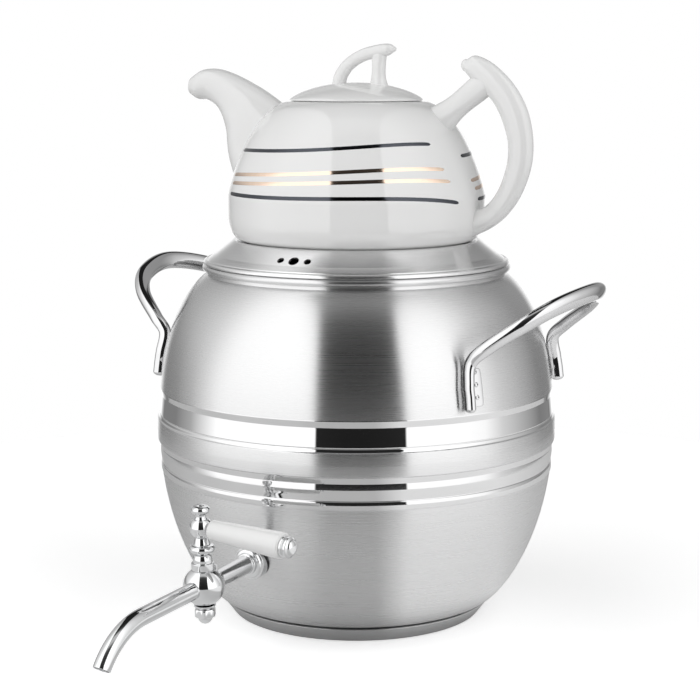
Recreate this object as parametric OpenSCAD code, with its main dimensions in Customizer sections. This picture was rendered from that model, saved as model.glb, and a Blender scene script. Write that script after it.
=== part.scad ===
// Stove-top tea kettle with a tap, and a porcelain teapot that stands on its lid.
// The origin is the centre of the base. The tap points to about -Y, the side handles to +X and -X.

/* [Kettle] */
// Diameter of the base where it stands
base_d = 152; // [130:1:158]
// Diameter of the kettle where the base cap meets the belly
base_seam_d = 164.4; // [156:0.4:168]
// Height of the base cap
base_h = 9.8; // [7:0.1:11]
// Largest diameter of the belly
belly_d = 236.8; // [215:1:260]
// Height at which the belly is widest
belly_wide_z = 108.5; // [90:0.5:125]
// Height at which the belly ends under the rim
belly_top_z = 204.2; // [190:0.2:230]
// Sheet thickness of the kettle, its lid and its base cap
sheet = 0.8; // [0.6:0.1:1.2]
// Diameter across the centre line of the rolled rim
rim_d = 179.2; // [176:0.1:184]
// Radius of the rolled rim
rim_r = 2.1; // [1.6:0.1:2.6]
// Height by which the brushed middle band stands out
band_proud = 1.2; // [0.6:0.1:2]

/* [Side handles] */
// Half the angle between the two feet of a side handle, seen from above
foot_half_angle = 29.5; // [20:0.5:32]
// Height of the lower end of the feet above the widest part of the belly
foot_rise = 32.5; // [30:0.5:38]
// How far the middle of the handle stands out beyond the belly
handle_out = 33; // [28:0.5:45]
// Height of the middle of the handle above the lower end of the feet
handle_rise = 60.5; // [52:0.1:68]
// Angle by which the second side handle sits off the line through the first
second_handle_turn = 6.5; // [-8:0.5:8]
// Width of the bar at the feet
bar_w_foot = 5.4; // [5:0.1:8]
// Width of the bar at the outermost point
bar_w_tip = 11.2; // [8:0.1:14]
// Thickness of the bar
bar_t = 7.6; // [5:0.1:8]
// Width of the flat welding tab beside each foot
tab_w = 9; // [5:0.1:10]
// Thickness of the welding tab
tab_t = 1.2; // [0.8:0.1:2]

/* [Tap] */
// Distance of the valve ball's centre from the belly
shank_len = 47.4; // [40:0.1:60]
// Angle from -Y at which the tap sits, seen from above
tap_turn = -2; // [-6:0.1:6]
// Height of the valve ball's centre
tap_z = 50.2; // [44:0.1:60]
// Tilt of the whole tap, outlet down
tap_dip = 3; // [0:0.1:5]
// Radius of the valve ball
valve_r = 11.2; // [10.5:0.1:13]
// Radius of the waterway through the shank and the plug
port_r = 2.2; // [1.8:0.1:2.4]
// Outer radius of the outlet pipe
pipe_r = 4.8; // [4.2:0.1:5.4]
// Wall of the outlet pipe
pipe_wall = 0.9; // [0.6:0.1:1.4]
// Straight length of the outlet pipe, from the ball's centre
pipe_straight = 53; // [40:0.5:70]
// Centre-line radius of the outlet pipe's bend
pipe_bend_r = 42; // [35:0.5:60]
// Angle through which the outlet pipe bends down
pipe_bend = 53.5; // [35:0.5:70]
// Radius of the threaded tail that goes through the belly
tail_r = 5; // [4.5:0.1:6]
// Running gap between the plug and its seat
plug_gap = 0.08; // [0.05:0.01:0.12]

/* [Lever] */
// Height of the lever above the valve ball's centre
lever_h = 32.6; // [28:0.1:36]
// Angle at which the lever hangs below a right angle to the finial
lever_droop = 2.8; // [0:0.1:8]
// Length of the white sleeve
sleeve_len = 46.5; // [30:0.5:54]
// Radius of the sleeve at the finial
sleeve_r_in = 5.4; // [4.5:0.1:6]
// Radius of the sleeve at its outer end
sleeve_r_out = 7.3; // [6:0.1:8.5]
// Radius of the lever's rod
rod_r = 2.2; // [1.6:0.1:2.6]

/* [Lid with the teapot's seat] */
// Width of the ledge under the teapot's foot, from the steam opening outward
seat_ledge = 14; // [10:0.5:20]
// Height of the seat that the teapot stands on, above the rolled rim
seat_rise = 13.1; // [11:0.1:16]
// Play between the teapot's skin and the lip of its seat
seat_play = 1; // [0.6:0.1:2]
// Radius of the large vent
vent_big_r = 3.1; // [2:0.1:4]
// Radius of the two small vents
vent_small_r = 2.1; // [1.5:0.1:3]
// Angle of the vents from the tap, seen from above
vent_turn = 4; // [-20:1:20]

/* [Teapot] */
// Largest radius of the teapot
pot_r = 76.4; // [74:0.2:80]
// Height of the teapot's body, from its foot to its shoulder
pot_h = 82; // [76:1:90]
// Radius of the teapot's foot
pot_foot_r = 66; // [62:0.5:68]
// Wall of the teapot
pot_wall = 3.4; // [2.6:0.1:4.5]
// Radius of the teapot's lid
lid_r = 39.2; // [38:0.1:40.4]
// Width of the ledge that the teapot's lid rests on
lid_ledge = 5.2; // [4:0.1:8]
// Height of the lid's dome
dome_h = 10.6; // [8:0.1:14]
// Angle of the teapot's handle from the kettle's side handle
teapot_turn = 6; // [-15:1:15]

/* [Hidden] */
$fn = 96;

steel = [0.78, 0.78, 0.79];
polished = [0.88, 0.88, 0.9];
chrome = [0.92, 0.92, 0.94];
rubber = [0.08, 0.08, 0.08];
aluminium = [0.7, 0.7, 0.72];
brass = [0.72, 0.6, 0.35];
porcelain = [0.95, 0.95, 0.94];

// Small gap between pieces of different bodies that lie on each other
rest_gap = 0.15;
belly_r = belly_d / 2;
base_seam_r = base_seam_d / 2;
base_r = base_d / 2;
rim_c = rim_d / 2;
neck_h = 1.9;
rim_z = belly_top_z + neck_h + rim_r;
rim_top = rim_z + rim_r;
foot_z = belly_wide_z + foot_rise;

// Steps of the ribs round the middle: [height from the widest height, step out]
ribs = [
  [-21.2, 0], [-20.3, 0.45], [-18.5, 0.35], [-16.4, 0.05], [-16.1, -0.6], [-13, -0.25], [-10, -0.1],
  [-6.6, -0.35], [-6.2, -0.4], [-3.0, 0], [-2.4, 0.9 * band_proud], [3.8, band_proud],
  [10.6, 0.9 * band_proud], [11.2, 0.2], [12.8, -0.1], [13.2, -0.5], [13.7, -0.3], [24.4, -0.85],
  [27.9, -0.05], [28.4, 0]
];
rib_low = ribs[0][0];
rib_high = ribs[len(ribs) - 1][0];

// The plain belly: one bulging curve from the base seam up to the widest place, one above it
neck_in = 4.2;
function bulge(z, z_end, r_end, n, m) =
  let (share = min(1, abs((z - belly_wide_z) / (z_end - belly_wide_z))))
    r_end + (belly_r - r_end) * pow(1 - pow(share, n), 1 / m);
function plain_r(z) =
  z < belly_wide_z
    ? bulge(z, base_h, base_seam_r, 1.96, 1.37)
    : bulge(z, belly_top_z + neck_h, rim_c - neck_in, 2.6, 1.42);
function rib(h) = h <= rib_low || h >= rib_high ? 0 : lookup(h, ribs);
function skin_r(z) = plain_r(z) + rib(z - belly_wide_z);

low_steps = 16;
rib_steps = 8;
high_steps = 18;
below_ribs = belly_wide_z + rib_low - 2;
above_ribs = belly_wide_z + rib_high + 2;
rib_z = [for (p = ribs) belly_wide_z + p[0]];
low_z = [for (i = [0 : low_steps]) base_h + (below_ribs - base_h) * pow(i / low_steps, 1.35)];
high_z = [for (i = [high_steps : -1 : 0])
  belly_top_z - (belly_top_z - above_ribs) * pow(i / high_steps, 1.25)];
skin = [for (z = concat(low_z, rib_z, high_z)) [skin_r(z), z]];
skin_by_height = [for (p = skin) [p[1], p[0]]];
// The inside follows the plain belly one sheet further in, and passes behind the ribs
behind_ribs = 0.5;
mid_z = [for (i = [1 : rib_steps - 1]) below_ribs + (above_ribs - below_ribs) * i / rib_steps];
inner = concat(
  [for (z = low_z) [plain_r(z) - sheet, max(z, base_h + sheet)]],
  [for (z = mid_z) [plain_r(z) - sheet - behind_ribs, z]],
  [for (z = high_z) [plain_r(z) - sheet, z]]
);

// Everything inside the belly's outer skin, and everything inside its inner wall
neck_r = rim_c - 0.4;
neck_top = rim_z - rim_r / 2;
module belly_solid() {
  rotate_extrude() polygon(concat([[0, base_h]], skin, [[neck_r, neck_top], [0, neck_top]]));
}
module belly_void() {
  rotate_extrude() polygon(concat(
    [[0, base_h + sheet]], inner, [[neck_r - sheet, neck_top + 1], [0, neck_top + 1]]
  ));
}

// A smooth skin through hand-placed sections. A section is [centre, first half axis, second half axis],
// all of them vectors, and the sections between are found on a smooth curve through the placed ones.
function between(a, b, c, d, t) =
  0.5 * (2 * b + (c - a) * t + (2 * a - 5 * b + 4 * c - d) * t * t + (3 * b - a - 3 * c + d) * t * t * t);
function beyond(list, i) =
  i < 0 ? 2 * list[0] - list[1] : i >= len(list) ? 2 * list[len(list) - 1] - list[len(list) - 2] : list[i];
function smooth(list, steps) = concat(
  [for (i = [0 : len(list) - 2], k = [0 : steps - 1])
    let (before = beyond(list, i - 1), after = beyond(list, i + 2))
      [for (v = [0 : 2]) between(before[v], list[i][v], list[i + 1][v], after[v], k / steps)]],
  [list[len(list) - 1]]
);
module loft(sections, steps, sides) {
  rings = smooth(sections, steps);
  count = len(rings);
  points = [for (s = rings, k = [0 : sides - 1])
    s[0] + s[1] * cos(360 * k / sides) + s[2] * sin(360 * k / sides)];
  walls = [for (i = [0 : count - 2], k = [0 : sides - 1], half = [0, 1])
    let (a = i * sides + k, b = i * sides + (k + 1) % sides, c = b + sides, d = a + sides)
      half == 0 ? [a, b, c] : [a, c, d]];
  first_cap = [for (k = [1 : sides - 2]) [0, k + 1, k]];
  last = (count - 1) * sides;
  last_cap = [for (k = [1 : sides - 2]) [last, last + k, last + k + 1]];
  polyhedron(points, concat(walls, first_cap, last_cap), convexity = 6);
}
// A section that lies in the XZ plane between two outline points, and is as wide as given across it
function flat_section(outer, inner_pt, half_w) = [
  [(outer[0] + inner_pt[0]) / 2, 0, (outer[1] + inner_pt[1]) / 2],
  [(outer[0] - inner_pt[0]) / 2, 0, (outer[1] - inner_pt[1]) / 2],
  [0, half_w, 0]
];

// Kettle

module kettle_body() {
  color(steel) {
    difference() {
      union() {
        difference() {
          belly_solid();
          belly_void();
        }
        translate([0, 0, rim_z]) rotate_extrude() translate([rim_c, 0]) circle(rim_r, $fn = 32);
      }
      tap_place() along_shank(0) cylinder(r = tail_r + tail_gap, h = tap_reach, $fn = 48);
    }
  }
}

cap_round = 0.7;
// Room between the heat-spreading disc and the wall of the base cap
core_room = 2.4;
module base_cap() {
  color(polished) rotate_extrude() polygon(concat(
    [[0, 0]],
    [for (a = [-90 : 15 : -30]) [base_r - cap_round + cap_round * cos(a), cap_round + cap_round * sin(a)]],
    [[base_seam_r, base_h], [base_seam_r - sheet, base_h]],
    [[base_r - sheet, sheet], [0, sheet]]
  ));
}

module base_core() {
  color(aluminium) translate([0, 0, sheet]) cylinder(r = base_r - core_room, h = base_h - sheet);
}

// Side handles

tab_angle = tab_w / belly_r * 180 / PI;
bar_angle = bar_w_foot / belly_r * 180 / PI;
foot_len = 25;
foot_straight = 13;
bar_stand_off = bar_t / 2 + 0.4;
handle_reach = belly_r + handle_out;
foot_x = skin_r(foot_z) * cos(foot_half_angle);
foot_y = skin_r(foot_z) * sin(foot_half_angle);

function unit(v) = v / norm(v);
// Direction of the bar's back: at the feet towards the kettle, at the tip a little upward as well
function back_dir(p, k) = unit((1 - k) * unit([-p[0], -p[1], 0]) + k * [-0.92, 0, 0.39]);
function bar_section(p, along, k) =
  let (b = back_dir(p, k), t = unit(along), n = unit(cross(t, b)), back = unit(cross(n, t)))
    [p, n * (bar_w_foot + (bar_w_tip - bar_w_foot) * k) / 2, back * bar_t / 2];
// The bar stands off square to the belly, which leans in by this share of the height
function lean(z) = (skin_r(z - 1) - skin_r(z + 1)) / 2;
function on_belly(z, angle) =
  let (r = skin_r(z) + bar_stand_off * sqrt(1 + lean(z) * lean(z))) [r * cos(angle), r * sin(angle), z];
// The bar's middle line above the foot, as shares of the way out, the feet's half distance and the rise,
// and how far the bar has grown from its width at the foot to its width at the tip
half_shape = [
  [0.035, 0.973, 0.405, 0.1], [0.206, 0.95, 0.547, 0.6], [0.579, 0.8, 0.767, 0.95],
  [0.839, 0.506, 0.922, 1], [1, 0, 1, 1]
];
half_loop = concat(
  [for (share = [0, 0.5, 1]) concat(on_belly(foot_z + share * foot_straight, foot_half_angle), 0)],
  [for (p = half_shape)
    [foot_x + p[0] * (handle_reach - foot_x), p[1] * foot_y, foot_z + p[2] * handle_rise, p[3]]]
);
function reversed(list) = [for (i = [len(list) - 1 : -1 : 0]) list[i]];
half_count = len(half_loop);
loop = concat(
  [for (p = half_loop) [p[0], -p[1], p[2], p[3]]],
  [for (i = [half_count - 2 : -1 : 0]) half_loop[i]]
);
function middle_of(p) = [p[0], p[1], p[2]];
loop_sections = [for (i = [0 : len(loop) - 1])
  let (next = loop[min(i + 1, len(loop) - 1)], last = loop[max(i - 1, 0)])
    bar_section(middle_of(loop[i]), middle_of(next - last), loop[i][3])];

module weld_tab() {
  inner_edge = foot_half_angle - bar_angle / 2 - tab_angle;
  tab_h = foot_len - 4;
  tab_top = foot_z + tab_h;
  // The tab's back is the same line as the belly's skin
  between_ends = [for (p = skin) if (p[1] > foot_z && p[1] < tab_top) p[1]];
  back = [for (z = concat(foot_z, between_ends, tab_top)) [lookup(z, skin_by_height), z]];
  front = [for (p = reversed(back)) p + [tab_t, 0]];
  rotate([0, 0, inner_edge]) rotate_extrude(angle = tab_angle + bar_angle / 2)
    polygon(concat(back, front));
  // Three spot welds
  weld_r = 1.5;
  weld_h = 0.8;
  weld_step = 6.9;
  weld_rise = 1.7;
  for (k = [-1 : 1]) {
    z = foot_z + tab_h / 2 + weld_rise + weld_step * k;
    rotate([0, 0, inner_edge + tab_angle / 2]) translate([skin_r(z) + tab_t - weld_h / 2, 0, z])
      rotate([0, 90, 0]) cylinder(r = weld_r, h = weld_h, $fn = 24);
  }
}
module side_handle() {
  color(polished) {
    loft(loop_sections, 6, 16);
    weld_tab();
    mirror([0, 1, 0]) weld_tab();
  }
}
module side_handle_right() {
  side_handle();
}
module side_handle_left() {
  rotate([0, 0, 180 - second_handle_turn]) side_handle();
}

// Tap. In its own frame the outlet points to -Y and the finial up, and the origin is the ball's centre.

module tap_place() {
  rotate([0, 0, tap_turn]) translate([0, -tap_reach, tap_z]) rotate([tap_dip, 0, 0]) children();
}
tap_reach = skin_r(tap_z) + shank_len;
tail_gap = 0.2;
ball_top = valve_r - 1.9;
ball_bottom = -valve_r + 0.9;
socket_y = valve_r - 3.2;
taper_r_top = 5.3;
taper_r_bottom = 4.3;
tap_flange_r = tail_r + 4.7;
flange_face_r = tail_r + 2.2;
flange_front_h = 1.8;
tap_flange_rim_h = 1.2;
gasket_t = 1.4;
gasket_r = tap_flange_r - 0.3;
gasket_inner_r = tail_r + 1.8;
washer_r = tail_r + 4;
washer_t = 1;
lock_nut_r = tail_r + 3.7;
lock_nut_h = 5;
// How much the belly leans away from the flange, per millimetre of height
wall_lean = (skin_r(tap_z + tap_flange_r) - skin_r(tap_z - tap_flange_r)) / (2 * tap_flange_r) - tan(tap_dip);
flange_y = shank_len - tap_flange_r * wall_lean - gasket_t - tap_flange_rim_h - flange_front_h;
inner_seat_y = shank_len + washer_r * wall_lean + sheet + 1.6;
tail_end = inner_seat_y + washer_t + lock_nut_h + 4;
neck_start_r = 4.7;
neck_end_r = tail_r + 0.3;
pin_r = 0.9;
pin_at = 6.9;
pin_angle = 40;
pin_depth = 4;
pin_h = 6;

module along_shank(y) {
  translate([0, y, 0]) rotate([-90, 0, 0]) children();
}
// The neck between the ball and the flange
module tap_neck() {
  along_shank(0) cylinder(r1 = neck_start_r, r2 = neck_end_r, h = flange_y + 0.5, $fn = 48);
}
module pin_place() {
  rotate([0, 0, pin_angle]) translate([pin_at, 0, ball_top - pin_depth]) children();
}
module tap_body() {
  ball_h = ball_top - ball_bottom;
  ring_y = valve_r - 1.8;
  color(chrome) tap_place() difference() {
    union() {
      intersection() {
        sphere(r = valve_r);
        translate([0, 0, ball_bottom]) cylinder(r = 2 * valve_r, h = ball_h);
      }
      tap_neck();
      along_shank(flange_y) cylinder(r = tail_r, h = tail_end - flange_y, $fn = 48);
      along_shank(ring_y) cylinder(r = neck_start_r + 0.9, h = 2, $fn = 48);
    }
    translate([0, 0, ball_bottom]) cylinder(r1 = taper_r_bottom, r2 = taper_r_top, h = ball_h, $fn = 48);
    along_shank(0) cylinder(r = port_r, h = tail_end + 1, $fn = 32);
    mirror([0, 1, 0]) along_shank(0) cylinder(r = port_r, h = 2 * valve_r, $fn = 32);
    mirror([0, 1, 0]) along_shank(socket_y) cylinder(r = pipe_r, h = valve_r, $fn = 48);
    pin_place() cylinder(r = pin_r, h = 2 * pin_h, $fn = 24);
  }
}
module pipe_piece(r) {
  mirror([0, 1, 0]) along_shank(socket_y) cylinder(r = r, h = pipe_straight - socket_y, $fn = 48);
  translate([0, -pipe_straight, -pipe_bend_r]) rotate([180, -90, 0])
    rotate_extrude(angle = pipe_bend, $fn = 144) translate([pipe_bend_r, 0]) circle(r, $fn = 48);
}
module tap_outlet_pipe() {
  color(chrome) tap_place() difference() {
    pipe_piece(pipe_r);
    pipe_piece(pipe_r - pipe_wall);
  }
}
// The belly's outer skin, moved out along the tap
module belly_moved(out) {
  rotate([0, 0, tap_turn]) translate([0, -out, 0]) belly_solid($fn = 480);
}
// A round piece with the tail's hole, from a place on the shank to the inside of the belly
module wall_ring(r, from) {
  tap_place() difference() {
    along_shank(from) cylinder(r = r, h = inner_seat_y - from);
    along_shank(from - 1) cylinder(r = tail_r, h = inner_seat_y - from + 2, $fn = 48);
  }
}
// The flange is domed in front, and its back follows the belly
module tap_flange_nut() {
  color(chrome) difference() {
    union() {
      wall_ring(tap_flange_r, flange_y + flange_front_h);
      tap_place() difference() {
        along_shank(flange_y) cylinder(r1 = flange_face_r, r2 = tap_flange_r - 1.1, h = flange_front_h + 0.1);
        along_shank(flange_y - 1) cylinder(r = tail_r, h = flange_front_h + 2, $fn = 48);
      }
    }
    belly_moved(gasket_t);
    tap_place() tap_neck();
  }
}
module tap_gasket_outer() {
  color(rubber) difference() {
    intersection() {
      wall_ring(gasket_r, flange_y + flange_front_h);
      belly_moved(gasket_t);
    }
    belly_solid($fn = 480);
  }
}
module tap_gasket_inner() {
  color(rubber) intersection() {
    wall_ring(gasket_inner_r, flange_y);
    belly_void($fn = 480);
  }
}
module tap_washer_inner() {
  color(steel) tap_place() difference() {
    along_shank(inner_seat_y) cylinder(r = washer_r, h = washer_t, $fn = 48);
    along_shank(inner_seat_y - 1) cylinder(r = tail_r, h = washer_t + 2, $fn = 48);
  }
}
module tap_lock_nut() {
  color(brass) tap_place() difference() {
    along_shank(inner_seat_y + washer_t) cylinder(r = lock_nut_r, h = lock_nut_h, $fn = 6);
    along_shank(inner_seat_y) cylinder(r = tail_r, h = lock_nut_h + 4, $fn = 48);
  }
}
module tap_stop_pin() {
  color(chrome) tap_place() pin_place() cylinder(r = pin_r, h = pin_h, $fn = 24);
}

// The part of the tap that turns

stem_r = rod_r + 0.2;
tail_stem_r = 1.9;
// Gap above the ball and under it, where the turning part passes the fixed one
turn_gap = 0.1;
collar_r = 6.3;
collar_band_h = 4;
collar_h = 8.6;
disc_z = ball_top + collar_h;
disc_mid_z = disc_z + 3.2;
disc_core_r = 4.9;
disc_round = 2.1;
boss_r = 6.3;
boss_low = lever_h - 5;
boss_high = lever_h + 4.6;
button_neck_r = stem_r + 0.5;
button_round = 2.2;
button_z = lever_h + 9.9;
stem_top = button_z + 1;
washer_h = 0.8;
spring_h = 1.4;
nut_top = ball_bottom - turn_gap - washer_h - spring_h;
nut_h = 4.8;
sleeve_start = boss_r + 0.3;
sleeve_end = sleeve_start + sleeve_len;
rod_end = sleeve_end + 4;

module lever_frame() {
  translate([0, 0, lever_h]) rotate([0, 90 + lever_droop, 0]) children();
}
module stem_bore(from, to) {
  translate([0, 0, from]) cylinder(r = stem_r, h = to - from, $fn = 32);
}
module tap_plug() {
  color(chrome) tap_place() difference() {
    union() {
      translate([0, 0, ball_bottom]) cylinder(
        r1 = taper_r_bottom - plug_gap, r2 = taper_r_top - plug_gap, h = ball_top - ball_bottom, $fn = 48);
      stem_bore(ball_top, stem_top);
      translate([0, 0, nut_top - nut_h])
        cylinder(r = tail_stem_r, h = ball_bottom - nut_top + nut_h, $fn = 32);
    }
    rotate([0, 90, 0]) cylinder(r = port_r, h = 4 * valve_r, center = true, $fn = 32);
    lever_frame() cylinder(r = rod_r, h = rod_end, $fn = 32);
  }
}
module collar_notch() {
  // The notch lets the lever turn a quarter before the stop pin meets its ends
  pin_gap = 0.15;
  spare = asin((pin_r + pin_gap) / pin_at);
  translate([0, 0, ball_top - 1]) rotate([0, 0, pin_angle - spare])
    rotate_extrude(angle = 90 + 2 * spare) translate([pin_at - pin_r - pin_gap, 0]) square([4, 3.4]);
}
module tap_collar() {
  crown_z = ball_top + collar_band_h + 0.6;
  crown_r = 4.1;
  color(chrome) tap_place() difference() {
    rotate_extrude() polygon(concat(
      [[stem_r, ball_top + turn_gap], [collar_r - 0.2, ball_top + turn_gap]],
      [[collar_r, ball_top + 0.4], [collar_r, ball_top + collar_band_h - 0.4]],
      [[collar_r - 0.4, ball_top + collar_band_h]],
      [[collar_r - 1, crown_z - 0.5], [collar_r - 1, crown_z - 0.1]],
      [for (a = [0 : 15 : 90]) [crown_r + 1.3 * cos(a), crown_z + (disc_z - crown_z) * sin(a)]],
      [[stem_r, disc_z]]
    ));
    collar_notch();
  }
}
module finial_disc() {
  color(chrome) tap_place() difference() {
    union() {
      translate([0, 0, disc_mid_z]) rotate_extrude() translate([disc_core_r, 0]) circle(disc_round, $fn = 32);
      translate([0, 0, disc_mid_z - disc_round]) cylinder(r = disc_core_r, h = 2 * disc_round, $fn = 64);
      translate([0, 0, disc_z]) cylinder(r1 = 3.6, r2 = 5.6, h = 1.6, $fn = 64);
      translate([0, 0, disc_mid_z + 1.4])
        cylinder(r1 = 5.4, r2 = 3.4, h = boss_low - disc_mid_z - 1.4, $fn = 64);
    }
    stem_bore(disc_z - 1, boss_low + 1);
  }
}
module lever_boss() {
  color(chrome) tap_place() difference() {
    intersection() {
      translate([0, 0, lever_h]) sphere(r = boss_r, $fn = 64);
      translate([0, 0, boss_low]) cylinder(r = 2 * boss_r, h = boss_high - boss_low);
    }
    stem_bore(boss_low - 1, boss_high + 1);
    lever_frame() cylinder(r = rod_r, h = rod_end, $fn = 32);
  }
}
module finial_button() {
  color(chrome) tap_place() difference() {
    union() {
      translate([0, 0, boss_high]) cylinder(r1 = button_neck_r + 0.7, r2 = button_neck_r, h = 1.2, $fn = 48);
      translate([0, 0, boss_high + 1]) cylinder(r = button_neck_r, h = button_z - boss_high - 1, $fn = 48);
      translate([0, 0, button_z]) rotate_extrude() translate([button_neck_r, 0])
        circle(button_round, $fn = 32);
      translate([0, 0, button_z - button_round]) cylinder(r = button_neck_r, h = 2 * button_round, $fn = 48);
      translate([0, 0, button_z + button_round - 0.2]) cylinder(r1 = 2.6, r2 = 1.6, h = 1.1, $fn = 48);
    }
    stem_bore(boss_high - 1, stem_top);
  }
}
module lever_rod() {
  color(steel) tap_place() lever_frame() cylinder(r = rod_r, h = rod_end, $fn = 32);
}
module lever_sleeve() {
  end_round = 1.4;
  start_round = 0.8;
  color(porcelain) tap_place() lever_frame() rotate_extrude() polygon(concat(
    [[rod_r, sleeve_start], [sleeve_r_in - start_round, sleeve_start]],
    [[sleeve_r_in, sleeve_start + start_round]],
    [for (a = [0 : 22.5 : 90])
      [sleeve_r_out - end_round + end_round * cos(a), sleeve_end - end_round + end_round * sin(a)]],
    [[rod_r, sleeve_end]]
  ));
}
module lever_end_cap() {
  cap_r = sleeve_r_out - 1.4;
  dome_r = cap_r - 1.3;
  color(chrome) tap_place() lever_frame() rotate_extrude() polygon(concat(
    [[0, rod_end], [rod_r, rod_end], [rod_r, sleeve_end], [cap_r, sleeve_end], [cap_r, sleeve_end + 1.4]],
    [[cap_r - 0.8, sleeve_end + 1.8], [cap_r - 0.8, sleeve_end + 2.4], [cap_r - 0.3, sleeve_end + 2.7]],
    [[cap_r - 0.3, sleeve_end + 4], [cap_r - 0.9, sleeve_end + 4.5]],
    [for (a = [0 : 15 : 90]) [dome_r * cos(a), sleeve_end + 4.7 + 2.2 * sin(a)]]
  ));
}
module tail_bore() {
  translate([0, 0, nut_top - nut_h]) cylinder(r = tail_stem_r, h = nut_h + 4, $fn = 32);
}
module plug_washer() {
  color(chrome) tap_place() difference() {
    translate([0, 0, nut_top + spring_h]) cylinder(r = 5.9, h = washer_h, $fn = 48);
    tail_bore();
  }
}
module spring_washer() {
  // A split ring
  split = 0.6;
  color(steel) tap_place() difference() {
    translate([0, 0, nut_top]) cylinder(r = 3.9, h = spring_h, $fn = 48);
    tail_bore();
    translate([tail_stem_r - 0.4, -split / 2, nut_top - 1]) cube([4, split, spring_h + 2]);
  }
}
module acorn_nut() {
  nut_r = 6.2;
  dome_r = 4;
  color(chrome) tap_place() difference() {
    union() {
      intersection() {
        translate([0, 0, nut_top - nut_h]) cylinder(r = nut_r, h = nut_h, $fn = 6);
        translate([0, 0, nut_top - nut_h]) cylinder(r1 = nut_r - 1, r2 = nut_r + 1.8, h = nut_h, $fn = 48);
      }
      translate([0, 0, nut_top - nut_h]) sphere(r = dome_r, $fn = 48);
    }
    tail_bore();
    translate([0, 0, nut_top]) cylinder(r = 2 * nut_r, h = nut_r, $fn = 32);
  }
}

// The teapot's outline, which its seat in the lid follows

pot_wide_low = 17;
pot_wide_high = 27;
shoulder_r = lid_r - 2.8;
// Radius of the teapot's skin at a height above its foot
function foot_curve(h) = pow(1 - pow((pot_wide_low - h) / pot_wide_low, 2.6), 1 / 2);
function shoulder_curve(h) = pow(1 - pow((h - pot_wide_high) / (pot_h + 0.4 - pot_wide_high), 1.15), 1 / 2.1);
function pot_skin(h) =
  h < pot_wide_low ? pot_foot_r + (pot_r - pot_foot_r) * foot_curve(h)
    : h < pot_wide_high ? pot_r
      : shoulder_r + (pot_r - shoulder_r) * shoulder_curve(h);

// Lid with the teapot's seat

seat_z = rim_top + seat_rise;
lip_h = 1.1;
lip_in = 0.9;
seat_r = pot_skin(lip_h - rest_gap) + seat_play - lip_in;
steam_r = pot_foot_r - seat_ledge;
seat_edge_z = seat_z + lip_h;
cone_top = [seat_r + 3.6, seat_edge_z - 0.5];
cone_foot = [rim_c - 5.9, rim_top + 5.8];
step_z = rim_top + 2.5;
flange_z = rim_top + rest_gap + 0.1;
flange_r = rim_c + 1.4;
skirt_play = 1.7;
skirt_r = min(neck_r, skin_r(belly_top_z)) - sheet - skirt_play;
skirt_z = rim_top - 11;
lid_top_line = [
  [steam_r, seat_z], [seat_r - 0.4, seat_z], [seat_r + 0.2, seat_z + 0.3], [seat_r + lip_in, seat_edge_z - 0.1],
  [seat_r + 2.4, seat_edge_z], cone_top, cone_foot, cone_foot + [1, -0.6],
  [rim_c - 1.6, step_z + 0.6], [rim_c - 1.3, step_z], [rim_c - 0.8, step_z], [rim_c - 0.4, step_z + 0.3],
  [flange_r - 0.6, step_z - 0.3], [flange_r, step_z - 1.2]
];
lid_under_line = [
  [flange_r, flange_z], [skirt_r - sheet, flange_z], cone_foot + [-0.4, -1.6], [seat_r + 3, seat_edge_z - 1.5],
  [seat_r + 1, seat_z - sheet], [steam_r, seat_z - sheet]
];
// The vents stand square to the cone, two thirds of the way down it
vent_share = 0.68;
vent_step = 6;
vent_at = cone_top + vent_share * (cone_foot - cone_top);
cone_fall = atan2(cone_top[1] - cone_foot[1], cone_foot[0] - cone_top[0]);

module seat_lid() {
  color(steel) difference() {
    rotate_extrude() polygon(concat(lid_top_line, lid_under_line));
    for (k = [-1 : 1])
      rotate([0, 0, -90 + vent_turn + k * vent_step]) translate([vent_at[0], 0, vent_at[1]])
        rotate([0, cone_fall, 0])
          cylinder(r = k == 0 ? vent_big_r : vent_small_r, h = 8, center = true, $fn = 32);
  }
}
// The ring under the lid that keeps it in the middle of the rim
module lid_ring() {
  color(steel) rotate_extrude() translate([skirt_r - sheet, skirt_z]) square([sheet, flange_z - skirt_z]);
}

// Teapot. In its own frame the handle points to +X and the spout to -X.

module pot_place() {
  rotate([0, 0, teapot_turn]) children();
}
pot_z = seat_z + rest_gap;
pot_top = pot_z + pot_h;
mouth_r = lid_r - lid_ledge;
pot_steps = 28;
pot_h_at = [for (i = [0 : pot_steps]) pot_h * (0.5 - 0.5 * cos(180 * i / pot_steps))];
pot_outer = [for (h = pot_h_at) [pot_skin(h), pot_z + h]];
pot_inner = [
  for (h = pot_h_at) if (h > pot_wall && h < pot_h - pot_wall) [pot_skin(h) - pot_wall, pot_z + h]
];
foot_groove = 1.6;
foot_ring = 5;

module pot_solid() {
  rotate_extrude() polygon(concat([[0, pot_z]], pot_outer, [[0, pot_top]]));
}
module teapot_body() {
  floor_z = pot_z + pot_wall + foot_groove;
  color(porcelain) pot_place() difference() {
    rotate_extrude() polygon(concat(
      [[0, pot_z + foot_groove], [pot_foot_r - foot_ring - 1, pot_z + foot_groove]],
      [[pot_foot_r - foot_ring, pot_z]],
      pot_outer,
      [[mouth_r, pot_top], [mouth_r, pot_top - pot_wall]],
      reversed(pot_inner),
      [[pot_inner[0][0] - 3, floor_z], [0, floor_z]]
    ));
    strainer_holes();
  }
}
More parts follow.
